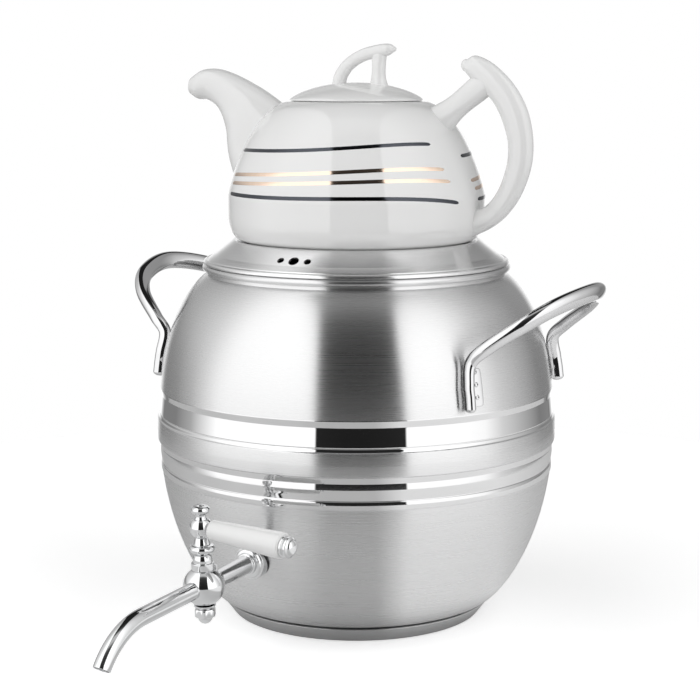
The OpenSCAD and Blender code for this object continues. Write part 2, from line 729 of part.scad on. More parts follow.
// Three rows of holes behind the spout
module strainer_holes() {
  hole_r = 2.4;
  hole_step = 9;
  low_row = 0.54;
  row_step = 0.11;
  for (row = [0 : 2], k = [-1 : 1]) {
    across = (k + (row == 1 ? 0.5 : 0)) * hole_step;
    translate([-pot_r / 2, across, pot_z + pot_h * (low_row + row_step * row)])
      rotate([0, -90, 0]) cylinder(r = hole_r, h = pot_r, $fn = 24);
  }
}

// Outline points of the spout and the handle: [reach from the axis, height above the teapot's foot].
// They are drawn for a teapot of this radius and height, and follow it when it changes.
drawn_r = 76.4;
drawn_h = 82;
function on_pot(p) = [p[0] * pot_r / drawn_r, pot_z + p[1] * pot_h / drawn_h];
function pot_section(outer, low, half_w) = flat_section(on_pot(outer), on_pot(low), half_w);
function spout_section(top, low, half_w, inset) =
  let (a = on_pot(top), b = on_pot(low), t = [-a[0], 0, a[1]], l = [-b[0], 0, b[1]], u = unit(t - l))
    [(t + l) / 2, (t - l) / 2 - inset * u, [0, -(half_w - inset), 0]];
spout_wall = 2.6;
module spout_loft(inset) {
  tip_inset = inset * 0.7;
  // The bore runs on past the tip
  beyond_tip = inset > 0 ? [spout_section([112, 93.4], [112, 84.4], 6.4, tip_inset)] : [];
  loft(concat([
    spout_section([44, 77], [74, 19], 17, inset),
    spout_section([59, 86.8], [82.4, 45], 15, inset),
    spout_section([69, 92.2], [84.6, 63], 12.5, inset),
    spout_section([80, 97.2], [89.6, 75.6], 10.6, inset),
    spout_section([91, 100.4], [97.4, 81.4], 9.6, inset),
    spout_section([101, 100], [104.8, 82.2], 9.2, inset),
    spout_section([109.4, 95.4], [109.8, 85], 6.4, tip_inset)
  ], beyond_tip), 5, 22);
}
module teapot_spout() {
  color(porcelain) pot_place() difference() {
    spout_loft(0);
    spout_loft(spout_wall);
    pot_solid();
  }
}

handle_sections = [
  pot_section([69, 106], [68, 99], 3.6),
  pot_section([75, 108], [72.5, 94], 5.2),
  pot_section([86, 102.6], [77.5, 89.5], 6),
  pot_section([98, 90.8], [85.5, 81.5], 6.2),
  pot_section([106, 76], [91.2, 70.5], 6.2),
  pot_section([109.2, 58.4], [94.6, 57.8], 6),
  pot_section([107.4, 42], [93.6, 45.4], 5.8),
  pot_section([100, 25], [88.6, 31.4], 5.8),
  pot_section([88, 12], [80.5, 22], 6),
  pot_section([70, 2.8], [70, 20], 7)
];
strut_sections = [
  pot_section([89, 90], [79, 101.5], 5.8),
  pot_section([80, 83.2], [71, 95], 5.6),
  pot_section([66, 72.4], [57, 83.6], 6),
  pot_section([55, 58], [42, 76.5], 9)
];
module teapot_handle() {
  color(porcelain) pot_place() difference() {
    union() {
      loft(handle_sections, 4, 16);
      loft(strut_sections, 4, 16);
    }
    pot_solid();
  }
}

lid_z = pot_top + rest_gap;
lid_edge = 0.8;
lid_skirt_r = mouth_r - 0.6;
lid_skirt_h = 8;
lid_wall = 3;
dome = [for (i = [0 : 12])
  let (x = 1 - i / 12) [lid_r * x, lid_z + lid_edge + (dome_h - lid_edge) * pow(1 - pow(x, 2.1), 0.8)]];
dome_z = lid_z + dome_h;
module teapot_lid() {
  inside_z = dome_z - lid_wall;
  inside_r = lid_skirt_r - lid_wall;
  color(porcelain) pot_place() rotate_extrude() polygon(concat(
    [[lid_r, lid_z]],
    dome,
    [[0, inside_z], [0.72 * inside_r, inside_z - 1.6], [inside_r, lid_z + 1.6]],
    [[inside_r, lid_z - lid_skirt_h], [lid_skirt_r, lid_z - lid_skirt_h], [lid_skirt_r, lid_z]]
  ));
}
arch_sections = [
  flat_section([-15.5, dome_z - 2.4], [-7.5, dome_z - 2.4], 4.2),
  flat_section([-13.2, dome_z + 5.6], [-5.8, dome_z + 3.2], 3.9),
  flat_section([-7, dome_z + 13.2], [-1.2, dome_z + 8.4], 3.8),
  flat_section([3, dome_z + 19], [5.8, dome_z + 12.2], 3.8),
  flat_section([14, dome_z + 21.8], [14.4, dome_z + 14.2], 4),
  flat_section([20.8, dome_z + 22.2], [20.4, dome_z + 15.4], 3.8),
  flat_section([24.3, dome_z + 20.4], [24, dome_z + 17.6], 1.6)
];
post_sections = [
  flat_section([8.6, dome_z - 2.6], [20, dome_z - 2.6], 5.6),
  flat_section([10, dome_z + 3], [18.4, dome_z + 3], 4.2),
  flat_section([10.4, dome_z + 10], [18.4, dome_z + 10], 4),
  flat_section([9.6, dome_z + 18], [19.4, dome_z + 18], 3.6)
];
module teapot_lid_handle() {
  color(porcelain) pot_place() difference() {
    union() {
      loft(arch_sections, 4, 14);
      loft(post_sections, 3, 14);
    }
    rotate_extrude() polygon(concat([[0, lid_z]], [[lid_r, lid_z]], dome));
  }
}

kettle_body();
base_cap();
base_core();
side_handle_right();
side_handle_left();
tap_body();
tap_outlet_pipe();
tap_flange_nut();
tap_gasket_outer();
tap_gasket_inner();
tap_washer_inner();
tap_lock_nut();
tap_stop_pin();
tap_plug();
tap_collar();
finial_disc();
lever_boss();
finial_button();
lever_rod();
lever_sleeve();
lever_end_cap();
plug_washer();
spring_washer();
acorn_nut();
seat_lid();
lid_ring();
teapot_body();
teapot_spout();
teapot_handle();
teapot_lid();
teapot_lid_handle();
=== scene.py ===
"""A tea kettle with a tap, and the porcelain teapot that stands on its lid.

Each piece is a surface made of whole numpy arrays: an outline turned round an axis, or sections carried along
a smooth path. Lengths are in millimetres and angles in degrees. The meshes are in metres.
"""

import bpy
import numpy as np
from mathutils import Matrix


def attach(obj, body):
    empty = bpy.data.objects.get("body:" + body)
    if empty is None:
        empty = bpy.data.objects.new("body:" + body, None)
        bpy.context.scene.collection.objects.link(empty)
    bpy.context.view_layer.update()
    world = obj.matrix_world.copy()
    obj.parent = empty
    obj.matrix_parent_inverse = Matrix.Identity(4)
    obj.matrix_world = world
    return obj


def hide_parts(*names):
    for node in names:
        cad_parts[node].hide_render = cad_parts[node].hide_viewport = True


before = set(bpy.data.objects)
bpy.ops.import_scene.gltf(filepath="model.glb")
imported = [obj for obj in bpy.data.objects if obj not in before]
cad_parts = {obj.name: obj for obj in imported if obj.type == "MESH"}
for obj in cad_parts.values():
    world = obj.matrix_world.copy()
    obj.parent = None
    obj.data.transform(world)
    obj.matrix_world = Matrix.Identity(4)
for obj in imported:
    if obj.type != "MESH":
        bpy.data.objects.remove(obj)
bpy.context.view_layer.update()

MM = 0.001
TAU = 2 * np.pi
NEARLY_NONE = 1e-6

# Angles over which an edge stays sharp: pressed steel, most pieces, bars and spout, painted lines
CREASED, PLAIN, SOFT, ROUND = 30, 38, 60, 80


# Shapes

def turn(axis, degrees):
    """The matrix that turns a point about one axis."""
    a = np.radians(degrees)
    c, s = np.cos(a), np.sin(a)
    i, j = [k for k in range(3) if k != axis]
    m = np.eye(3)
    m[i, i] = m[j, j] = c
    m[i, j], m[j, i] = (-s, s) if axis != 1 else (s, -s)
    return m


def around(sides):
    """Equal angles round a full turn."""
    return np.arange(sides) * TAU / sides


def round_z(r, a, z):
    """Points at a radius, an angle and a height: x = r cos a, y = r sin a."""
    x = r * np.cos(a)
    return np.stack([x, r * np.sin(a), z + 0 * x], -1)


def placed(shell, matrix=None, shift=(0, 0, 0)):
    """A shell turned by the matrix and then moved by the shift."""
    points, faces = shell
    matrix = np.eye(3) if matrix is None else matrix
    return points @ matrix.T + np.array(shift, float), faces


def outward(points, faces):
    """The faces, turned over if the volume that they close comes out negative."""
    volume = 0.0
    for corners in faces:
        a = points[corners[:, 0]]
        for k in range(1, corners.shape[1] - 1):
            b, c = points[corners[:, k]], points[corners[:, k + 1]]
            volume += np.einsum("ij,ij->", a, np.cross(b, c))
    return faces if volume > 0 else [corners[:, ::-1] for corners in faces]


def grid_shell(grid, round_rows=False):
    """A closed shell over a grid of points. Columns always close on themselves.

    Rows close on themselves too, or the first and last row are closed by a fan to their middle point.
    """
    rows, cols = grid.shape[:2]
    points = grid.reshape(-1, 3)
    r = np.arange(rows if round_rows else rows - 1)[:, None]
    c = np.arange(cols)[None, :]
    low, high = r * cols, ((r + 1) % rows) * cols
    quads = np.stack([low + c, low + (c + 1) % cols, high + (c + 1) % cols, high + c], -1).reshape(-1, 4)
    faces = [quads]
    if not round_rows:
        middles = np.stack([grid[0].mean(0), grid[-1].mean(0)])
        first, last = len(points), len(points) + 1
        points = np.concatenate([points, middles])
        k = np.arange(cols)
        nxt = (k + 1) % cols
        end = (rows - 1) * cols
        faces.append(np.stack([nxt, k, np.full(cols, first)], -1))
        faces.append(np.stack([end + k, end + nxt, np.full(cols, last)], -1))
    return points, outward(points, faces)


def turned(outline, sides=96):
    """An outline of radius and height turned round Z.

    An outline that starts and ends on the axis gets a pole at each end, and any other is a closed loop.
    """
    outline = np.array(outline, float)
    on_axis = max(outline[0, 0], outline[-1, 0]) < NEARLY_NONE
    rings = outline[1:-1] if on_axis else outline
    grid = round_z(rings[:, :1], around(sides), rings[:, 1:])
    if not on_axis:
        return grid_shell(grid, round_rows=True)
    points, faces = grid_shell(grid)
    points[-2], points[-1] = (0, 0, outline[0, 1]), (0, 0, outline[-1, 1])
    return points, faces


def eased(corners, reach=0.3, steps=4, closed=False):
    """An outline whose corners are rounded: each one becomes a parabola that starts and ends within reach.

    On a short side a parabola takes up less than half of it.
    """
    p = np.array(corners, float)

    def towards(other):
        way = other - p
        distance = np.linalg.norm(way, axis=1, keepdims=True) + NEARLY_NONE * MM
        return p + way / distance * np.minimum(reach, 0.45 * distance)

    start, end = towards(np.roll(p, 1, 0)), towards(np.roll(p, -1, 0))
    t = np.linspace(0, 1, steps)[None, :, None]
    arcs = (1 - t) ** 2 * start[:, None] + 2 * t * (1 - t) * p[:, None] + t ** 2 * end[:, None]
    if closed:
        return arcs.reshape(-1, 2)
    return np.concatenate([p[:1], arcs[1:-1].reshape(-1, 2), p[-1:]])


def arc(centre, radius, start, end, steps=10):
    """Points of a circle from one angle to another."""
    a = np.radians(np.linspace(start, end, steps))
    return np.stack([centre[0] + radius * np.cos(a), centre[1] + radius * np.sin(a)], -1)


def smooth_through(places, share):
    """The smooth curve through the places, at each share of the way: a cubic between each pair of places."""
    p = np.array(places, float)
    ends = np.concatenate([2 * p[:1] - p[1:2], p, 2 * p[-1:] - p[-2:-1]])
    at = np.clip(np.asarray(share, float), 0, 1) * (len(p) - 1)
    i = np.minimum(at.astype(int), len(p) - 2)
    t = (at - i).reshape(at.shape + (1,) * (p.ndim - 1))
    a, b, c, d = ends[i], ends[i + 1], ends[i + 2], ends[i + 3]
    square, cube = 2 * a - 5 * b + 4 * c - d, 3 * b - a - 3 * c + d
    return 0.5 * (2 * b + (c - a) * t + square * t ** 2 + cube * t ** 3)


def section_ring(section, a, fullness=1.0):
    """The closed curve centre + half axis 1 * cos a + half axis 2 * sin a, made fuller by a power."""
    c, s = np.cos(a), np.sin(a)
    c, s = np.sign(c) * np.abs(c) ** fullness, np.sign(s) * np.abs(s) ** fullness
    centre, first, second = (section[..., k, :] for k in range(3))
    return centre + first * c[..., None] + second * s[..., None]


def carried(sections, rows=80, sides=36, from_share=0.0, fullness=1.0):
    """A grid of points: sections of three vectors carried along the smooth curve through the placed ones.

    from_share is one number, or one for each side, which trims each side where the piece meets another.
    """
    start = np.broadcast_to(from_share, (sides,))
    share = start[None, :] + np.linspace(0, 1, rows)[:, None] * (1 - start[None, :])
    a = np.broadcast_to(around(sides), share.shape)
    return section_ring(smooth_through(sections, share), a, fullness)


def unit(v):
    """The vectors at length one."""
    return v / np.linalg.norm(v, axis=-1, keepdims=True)


def round_end(grid, rows=8, rise=0.8):
    """The grid closed by a low dome after its last ring, which shrinks as a cosine and rises as a sine."""
    middle = grid[-1].mean(0)
    spokes = grid[-1] - middle
    ahead = unit(middle - grid[-2].mean(0))
    size = np.linalg.norm(spokes, axis=1).min()
    t = np.linspace(0, 0.5 * np.pi, rows)[1:-1, None, None]
    dome = middle + spokes[None] * np.cos(t) + ahead * rise * size * np.sin(t)
    return np.concatenate([grid, dome])


def lipped_tube(skin, bore, back, rise, steps):
    """A closed tube from the grids of its outside and its bore, joined at the far end by a rounded lip.

    The lip bulges by the rise, in the direction from the ring that many rows back to the last one.
    """
    middle, half = (skin[-1] + bore[-1]) / 2, (skin[-1] - bore[-1]) / 2
    ahead = unit(skin[-1].mean(0) - skin[-1 - back].mean(0)) * rise
    t = np.linspace(0, np.pi, steps)[1:-1, None, None]
    lip = middle[None] + half[None] * np.cos(t) + ahead * (np.sin(t) - 1)
    return grid_shell(np.concatenate([skin[:-1], lip, bore[-2::-1]]), round_rows=True)


# Pieces

def joined(name, shells):
    """The shells put together as the mesh of a new object."""
    points, faces, count = [], [], 0
    for shell_points, shell_faces in shells:
        points.append(shell_points)
        faces += [row for corners in shell_faces for row in (corners + count).tolist()]
        count += len(shell_points)
    mesh = bpy.data.meshes.new(name)
    mesh.from_pydata(np.concatenate(points) * MM, [], faces)
    mesh.update()
    made = bpy.data.objects.new(name, mesh)
    bpy.context.scene.collection.objects.link(made)
    return made


def drill(made, shells):
    """Cuts the shells out of a piece and keeps the result as its mesh."""
    cutter = joined("drill", shells)
    hole = made.modifiers.new("holes", "BOOLEAN")
    hole.operation, hole.solver, hole.object = "DIFFERENCE", "EXACT", cutter
    bpy.context.view_layer.update()
    drilled = bpy.data.meshes.new_from_object(made.evaluated_get(bpy.context.evaluated_depsgraph_get()))
    made.modifiers.remove(hole)
    made.data = drilled
    bpy.data.objects.remove(cutter)


def piece(name, shells, material, body, replaces=(), sharp=PLAIN, cut=None):
    """Puts shells together as one mesh object, smooth but for edges sharper than the angle."""
    made = joined(name, shells)
    if cut is not None:
        drill(made, cut)
    made.data.shade_smooth()
    made.data.set_sharp_from_angle(angle=np.radians(sharp))
    made.data.materials.clear()
    made.data.materials.append(material)
    if replaces:
        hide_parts(*replaces)
    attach(made, body)


# Finishes

def add(tree, kind, inputs=None, output=0, **settings):
    """One output of a new shader node with its settings and inputs, each a value or another node's socket."""
    node = tree.nodes.new("ShaderNode" + kind)
    for key, value in settings.items():
        setattr(node, key, value)
    for key, value in (inputs or {}).items():
        if isinstance(value, bpy.types.NodeSocket):
            tree.links.new(value, node.inputs[key])
        else:
            node.inputs[key].default_value = value
    return node.outputs[output] if node.outputs else node


def maths(tree, operation, a, b=0.0, c=0.0, clamp=False):
    """One step of arithmetic."""
    return add(tree, "Math", {0: a, 1: b, 2: c}, operation=operation, use_clamp=clamp)


def ramp(tree, value, stops):
    """A grey or a colour read from stops of position and value."""
    socket = add(tree, "ValToRGB", {"Fac": value})
    band = socket.node.color_ramp
    while len(band.elements) < len(stops):
        band.elements.new(1.0)
    for element, (at, colour) in zip(band.elements, stops):
        element.position = at
        rgb = colour if isinstance(colour, tuple) else (colour,) * 3
        element.color = (*rgb, 1)
    return socket


def new_material(name):
    """An empty material and its node tree."""
    material = bpy.data.materials.new(name)
    material.use_nodes = True
    material.node_tree.nodes.clear()
    return material, material.node_tree


def finish_with(tree, inputs):
    """The surface shader, joined to the material's output."""
    shader = add(tree, "BsdfPrincipled", inputs)
    add(tree, "OutputMaterial", {"Surface": shader})


def mixed(tree, share, a, b):
    """One colour fading into another."""
    return add(tree, "Mix", {0: share, 6: a, 7: b}, output=2, data_type="RGBA")


def shaded(colour, share):
    """A colour made darker or lighter by a share."""
    return tuple(share * c for c in colour)


def noise(tree, vector, scale, detail=2.0, roughness=0.5):
    """Smooth noise about a half."""
    return add(tree, "TexNoise",
               {"Vector": vector, "Scale": scale, "Detail": detail, "Roughness": roughness})


def object_place(tree):
    """The place on the object, in its own axes."""
    return add(tree, "TexCoord", output="Object")


def varied(tree, texture, middle, spread, clamp=False):
    """A value that follows a texture about the middle: middle + spread * (texture - a half)."""
    return maths(tree, "MULTIPLY_ADD", maths(tree, "SUBTRACT", texture, 0.5), spread, middle, clamp)


def relief(tree, height, depth, strength=0.4):
    """Bumps that follow a texture, so many millimetres deep."""
    return add(tree, "Bump", {"Strength": strength, "Distance": depth * MM, "Height": height})


def round_lines(tree, lean, along, across):
    """Noise drawn out into fine lines that run round the Z axis.

    The place across the lines is height minus lean times radius, so that they also show on a slope.
    """
    place = object_place(tree)
    x, y, z = (add(tree, "SeparateXYZ", {0: place}, output=k) for k in range(3))
    flat = add(tree, "CombineXYZ", {0: x, 1: y})
    radius = add(tree, "VectorMath", {0: flat}, output="Value", operation="LENGTH")
    step = maths(tree, "SUBTRACT", z, maths(tree, "MULTIPLY", radius, lean))
    vector = add(tree, "CombineXYZ", {
        0: maths(tree, "MULTIPLY", x, along), 1: maths(tree, "MULTIPLY", y, along),
        2: maths(tree, "MULTIPLY", step, across)})
    return noise(tree, vector, 1.0, 3.0, 0.6), z


FINE_LINES = {"along": 16.0, "across": 4200.0}
BROAD_LINES = {"along": 5.0, "across": 1500.0}
FINE_SHARE, BRUSH_SPREAD, BRUSH_BUMP, BRUSH_DEPTH, BRUSH_STRETCH = 0.75, 0.1, 0.02, 0.1, 0.95
POLISH_SHINE, POLISH_LIGHTER, POLISH_EDGE, POLISH_MARGIN = 0.045, 1.04, 0.25, 4


def brushed_steel(name, colour, lean, rough, polished=()):
    """Steel brushed in fine lines round the axis, with mirror-polished bands between given heights."""
    material, tree = new_material(name)
    fine, height = round_lines(tree, lean, **FINE_LINES)
    broad, _ = round_lines(tree, lean, **BROAD_LINES)
    grain = maths(tree, "ADD", maths(tree, "MULTIPLY", fine, FINE_SHARE),
                  maths(tree, "MULTIPLY", broad, 1 - FINE_SHARE))
    brushing = varied(tree, grain, rough, BRUSH_SPREAD)
    shade = ramp(tree, grain, [(0.3, shaded(colour, 0.97)), (0.5, colour), (0.7, shaded(colour, 1.02))])
    tint, depth = shade, BRUSH_DEPTH
    if polished:
        low, high = polished[0][0] - POLISH_MARGIN, polished[-1][1] + POLISH_MARGIN
        share = maths(tree, "DIVIDE", maths(tree, "SUBTRACT", height, low * MM), (high - low) * MM)
        edge = POLISH_EDGE / (high - low)
        stops = [(0.0, 0.0)]
        for start, end in polished:
            a, b = (start - low) / (high - low), (end - low) / (high - low)
            stops += [(a - edge, 0.0), (a + edge, 1.0), (b - edge, 1.0), (b + edge, 0.0)]
        mirror = ramp(tree, share, stops)
        brushing = add(tree, "Mix", {0: mirror, 2: brushing, 3: POLISH_SHINE}, data_type="FLOAT")
        tint = mixed(tree, mirror, shade, (*shaded(colour, POLISH_LIGHTER), 1))
        depth = maths(tree, "MULTIPLY_ADD", mirror, -BRUSH_DEPTH, BRUSH_DEPTH)
    bump = relief(tree, grain, BRUSH_BUMP, depth)
    tangent = add(tree, "Tangent", direction_type="RADIAL", axis="Z")
    finish_with(tree, {
        "Base Color": tint, "Metallic": 1.0, "Roughness": brushing, "Normal": bump, "Tangent": tangent,
        "Anisotropic": BRUSH_STRETCH, "Anisotropic Rotation": 0.25})
    return material


def bright_metal(name, colour, rough, marks=0.03, scale=60.0, bump_depth=0.0):
    """Polished or plated metal with faint cloudy marks in its polish, and a fine grain if it has a depth."""
    material, tree = new_material(name)
    place = object_place(tree)
    clouds = noise(tree, place, scale, 4.0, 0.6)
    polish = varied(tree, clouds, rough, 2 * marks, clamp=True)
    shade = ramp(tree, clouds, [(0.25, shaded(colour, 0.94)), (0.7, colour)])
    inputs = {"Base Color": shade, "Metallic": 1.0, "Roughness": polish}
    if bump_depth:
        inputs["Normal"] = relief(tree, noise(tree, place, 1400.0), bump_depth)
    finish_with(tree, inputs)
    return material


GLAZE_ROUGH, GLAZE_SPREAD = 0.045, 0.05


def glazed(name, colour):
    """White glazed porcelain: a slow unevenness in the glaze and a hardly visible change of tone."""
    material, tree = new_material(name)
    place = object_place(tree)
    slow, pores = noise(tree, place, 14.0), noise(tree, place, 900.0)
    tone = ramp(tree, slow, [(0.3, shaded(colour, 0.985)), (0.7, colour)])
    finish_with(tree, {
        "Base Color": tone, "Roughness": varied(tree, pores, GLAZE_ROUGH, GLAZE_SPREAD), "IOR": 1.55,
        "Normal": relief(tree, slow, 0.2, 0.25), "Coat Weight": 0.3, "Coat Roughness": 0.03})
    return material


def rubber(name, colour):
    """Matt rubber with a fine grain."""
    material, tree = new_material(name)
    grain = noise(tree, object_place(tree), 1800.0, 3.0)
    tone = ramp(tree, grain, [(0.3, colour), (0.7, shaded(colour, 1.6))])
    finish_with(tree, {"Base Color": tone, "Roughness": 0.65, "Normal": relief(tree, grain, 0.04)})
    return material


# Sizes of the kettle, the same as the frame's

BASE_H, BASE_SEAM_R, BASE_R, FOOT_CORNER_R = 9.8, 82.2, 76.0, 0.7
BELLY_R, BELLY_WIDE_Z, BELLY_TOP_Z, SHEET = 118.4, 108.5, 204.2, 0.8
RIM_C, RIM_R, NECK_H, NECK_IN, BAND = 89.6, 2.1, 1.9, 4.2, 1.2
RIM_Z = BELLY_TOP_Z + NECK_H + RIM_R
RIM_TOP = RIM_Z + RIM_R
RIBS = np.array([
    (-21.2, 0), (-20.3, 0.45), (-18.5, 0.35), (-16.4, 0.05), (-16.1, -0.6), (-13, -0.25), (-10, -0.1),
    (-6.6, -0.35), (-6.2, -0.4), (-3.0, 0), (-2.4, 0.9 * BAND), (3.8, BAND), (10.6, 0.9 * BAND),
    (11.2, 0.2), (12.8, -0.1), (13.2, -0.5), (13.7, -0.3), (24.4, -0.85), (27.9, -0.05), (28.4, 0)])
POLISHED = [(87.6, 105.6), (119.4, 136.9)]
LOW_CURVE, HIGH_CURVE = (1.96, 1.37), (2.6, 1.42)


def bulge(z, z_end, r_end, n, m):
    """The belly's curve: r_end + (widest - r_end) * (1 - share^n)^(1/m), share being the way to its end."""
    share = np.clip(np.abs((z - BELLY_WIDE_Z) / (z_end - BELLY_WIDE_Z)), 0, 1)
    return r_end + (BELLY_R - r_end) * (1 - share ** n) ** (1 / m)


def plain_r(z):
    """Radius of the belly without its ribs."""
    z = np.asarray(z, float)
    low = bulge(z, BASE_H, BASE_SEAM_R, *LOW_CURVE)
    high = bulge(z, BELLY_TOP_Z + NECK_H, RIM_C - NECK_IN, *HIGH_CURVE)
    return np.where(z < BELLY_WIDE_Z, low, high)


def skin_r(z):
    """Radius of the belly with its ribs."""
    return plain_r(z) + np.interp(np.asarray(z, float) - BELLY_WIDE_Z, RIBS[:, 0], RIBS[:, 1], 0, 0)


def belly_outline():
    """The kettle's wall as one closed line: up the ribbed skin, round the rolled rim and down the inside."""
    rib_z = BELLY_WIDE_Z + RIBS[:, 0]
    low = BASE_H + (rib_z[0] - 0.8 - BASE_H) * np.linspace(0, 1, 34) ** 1.25
    high = BELLY_TOP_Z - (BELLY_TOP_Z - rib_z[-1] - 0.8) * np.linspace(1, 0, 36) ** 1.3
    skirt = np.stack([skin_r(low), low], -1)
    skirt[0] += (0.1, 0.35)
    ribbed = eased(np.stack([plain_r(rib_z) + RIBS[:, 1], rib_z], -1), 0.32, 5)
    rim = arc((RIM_C, RIM_Z), RIM_R, -101, 235, 26)
    down = np.concatenate([high[::-1], np.linspace(high[0], low[-1], 12)[1:-1], low[::-1]])
    behind = 0.5 * ((down > low[-1]) & (down < high[0]))
    inside = np.stack([plain_r(down) - SHEET - behind, np.maximum(down, BASE_H + SHEET)], -1)
    return np.concatenate([
        [(0, BASE_H), (0.5 * BASE_SEAM_R, BASE_H), (BASE_SEAM_R - 0.6, BASE_H)], skirt, ribbed,
        np.stack([skin_r(high), high], -1), rim, inside,
        [(0.5 * BASE_SEAM_R, BASE_H + SHEET), (0, BASE_H + SHEET)]])


def base_outline():
    """The cap under the kettle: flat below, a tight corner, a slope out to the seam, and a groove there."""
    foot = arc((BASE_R - FOOT_CORNER_R, FOOT_CORNER_R), FOOT_CORNER_R, -90, -32, 6)
    seam = np.array((BASE_SEAM_R, BASE_H))
    return np.concatenate([
        [(0, 0), (0.5 * BASE_R, 0)], foot,
        eased([foot[-1], seam - (0.3, 1.4), seam - (0.95, 1.1), seam - (3.2, 0.95), seam - (3.6, 1.6),
               (BASE_R - SHEET, SHEET + 0.4), (BASE_R - 2, SHEET)], 0.25)[1:],
        [(0.5 * BASE_R, SHEET), (0, SHEET)]])


# Side handles

FOOT_ANGLE, FOOT_Z, FOOT_STRAIGHT, FOOT_LEN = 29.5, 141.0, 13.0, 25.0
HANDLE_REACH, HANDLE_RISE = 151.1, 60.5
BAR_W_FOOT, BAR_W_TIP, BAR_T, TAB_W, TAB_T = 5.4, 11.2, 7.6, 9.0, 1.2
LEFT_HANDLE_TURN = 173.5
TIP_BACK = (-0.92, 0, 0.39)
HALF_SHAPE = np.array([
    (0.035, 0.973, 0.405, 0.1), (0.206, 0.95, 0.547, 0.6), (0.579, 0.8, 0.767, 0.95),
    (0.839, 0.506, 0.922, 1), (1, 0, 1, 1)])
WELD_STEP, WELD_RISE, WELD_R = 6.9, 1.7, 1.5


def lean_of_belly(z):
    """How far the belly leans in for each millimetre of height."""
    return (skin_r(z - 1) - skin_r(z + 1)) / 2


def bar_middle():
    """The bar's middle line from foot to foot, with how far it has grown to its width at the tip."""
    a = np.radians(FOOT_ANGLE)
    z = FOOT_Z + np.array([0, 0.5, 1]) * FOOT_STRAIGHT
    r = skin_r(z) + (BAR_T / 2 + 0.4) * np.sqrt(1 + lean_of_belly(z) ** 2)
    foot = np.stack([r * np.cos(a), r * np.sin(a), z, 0 * z], -1)
    x0, y0 = skin_r(FOOT_Z) * np.cos(a), skin_r(FOOT_Z) * np.sin(a)
    rest = np.stack([
        x0 + HALF_SHAPE[:, 0] * (HANDLE_REACH - x0), HALF_SHAPE[:, 1] * y0,
        FOOT_Z + HALF_SHAPE[:, 2] * HANDLE_RISE, HALF_SHAPE[:, 3]], -1)
    half = np.concatenate([foot, rest])
    return np.concatenate([half * (1, -1, 1, 1), half[-2::-1]])


def bar_grid(rows=150, sides=36):
    """The bar: a full oval carried along its middle line, its back towards the kettle."""
    line = smooth_through(bar_middle(), np.linspace(0, 1, rows))
    p, k = line[:, :3], np.clip(line[:, 3:], 0, 1)
    along = unit(np.gradient(p, axis=0))
    back = unit((1 - k) * unit(-p * (1, 1, 0)) + k * np.array(TIP_BACK))
    side = unit(np.cross(along, back))
    back = unit(np.cross(side, along))
    wide = (BAR_W_FOOT + (BAR_W_TIP - BAR_W_FOOT) * k) / 2
    sections = np.stack([p, side * wide, back * BAR_T / 2], 1)
    grid = section_ring(sections[:, None], np.broadcast_to(around(sides), (rows, sides)), 0.9)
    return round_end(round_end(grid)[::-1])


def rounded_plate(half_w, half_h, half_t, rows=25, sides=64, square=0.22, edge=0.4):
    """A plate with rounded edges: a sphere's two angles, every sine and cosine raised to a low power."""
    v = np.linspace(-0.5 * np.pi, 0.5 * np.pi, rows)[1:-1, None]
    u = around(sides)[None, :]

    def power(x, e):
        return np.sign(x) * np.abs(x) ** e

    out = power(np.cos(v), edge)
    grid = np.stack([
        half_w * out * power(np.cos(u), square), half_h * out * power(np.sin(u), square),
        half_t * power(np.sin(v), edge) + 0 * u], -1)
    return grid_shell(grid)


def on_belly(shell, angle, z_mid):
    """Bends a shell onto the belly: x runs round it, y up, z out from its skin."""
    points, faces = shell
    z = z_mid + points[:, 1]
    r = skin_r(z) + points[:, 2]
    a = np.radians(angle) + points[:, 0] / skin_r(z_mid)
    return round_z(r, a, z), faces


def weld_mark():
    """A spot weld: a shallow dish inside a low ring, its height 0.28 * exp(-((r - 1) / 0.3)^2)."""
    r = np.linspace(0, WELD_R, 10)[1:]
    ring = 0.28 * np.exp(-((r - 1.0) / 0.3) ** 2)
    low = -0.3
    return turned(np.concatenate([[(0, low), (WELD_R, low)], np.stack([r, ring], -1)[::-1], [(0, 0)]]), 28)


def tab_shells(side):
    """A welding tab beside a foot and its three spot welds; side is 1 or -1."""
    tab_h = FOOT_LEN - 4
    per_mm = 180 / np.pi / BELLY_R
    inner = FOOT_ANGLE - (BAR_W_FOOT / 2 + TAB_W) * per_mm
    width = TAB_W + BAR_W_FOOT / 2
    middle = inner + width / 2 * per_mm
    plate = rounded_plate(width / 2, tab_h / 2, TAB_T / 2)
    shells = [on_belly(placed(plate, shift=(0, 0, TAB_T / 2)), side * middle, FOOT_Z + tab_h / 2)]
    at = side * (inner + TAB_W / 2 * per_mm)
    for step in (-WELD_STEP, 0, WELD_STEP):
        mark = placed(weld_mark(), shift=(0, step + WELD_RISE, TAB_T))
        shells.append(on_belly(mark, at, FOOT_Z + tab_h / 2))
    return shells


def handle_shells(turned_by):
    """One side handle with its two tabs."""
    shells = [grid_shell(bar_grid())] + tab_shells(1) + tab_shells(-1)
    return [placed((p, outward(p, f)), turn(2, turned_by)) for p, f in shells]


# Tap. In its own frame the outlet points to -Y, the finial up, and the origin is the ball's centre.

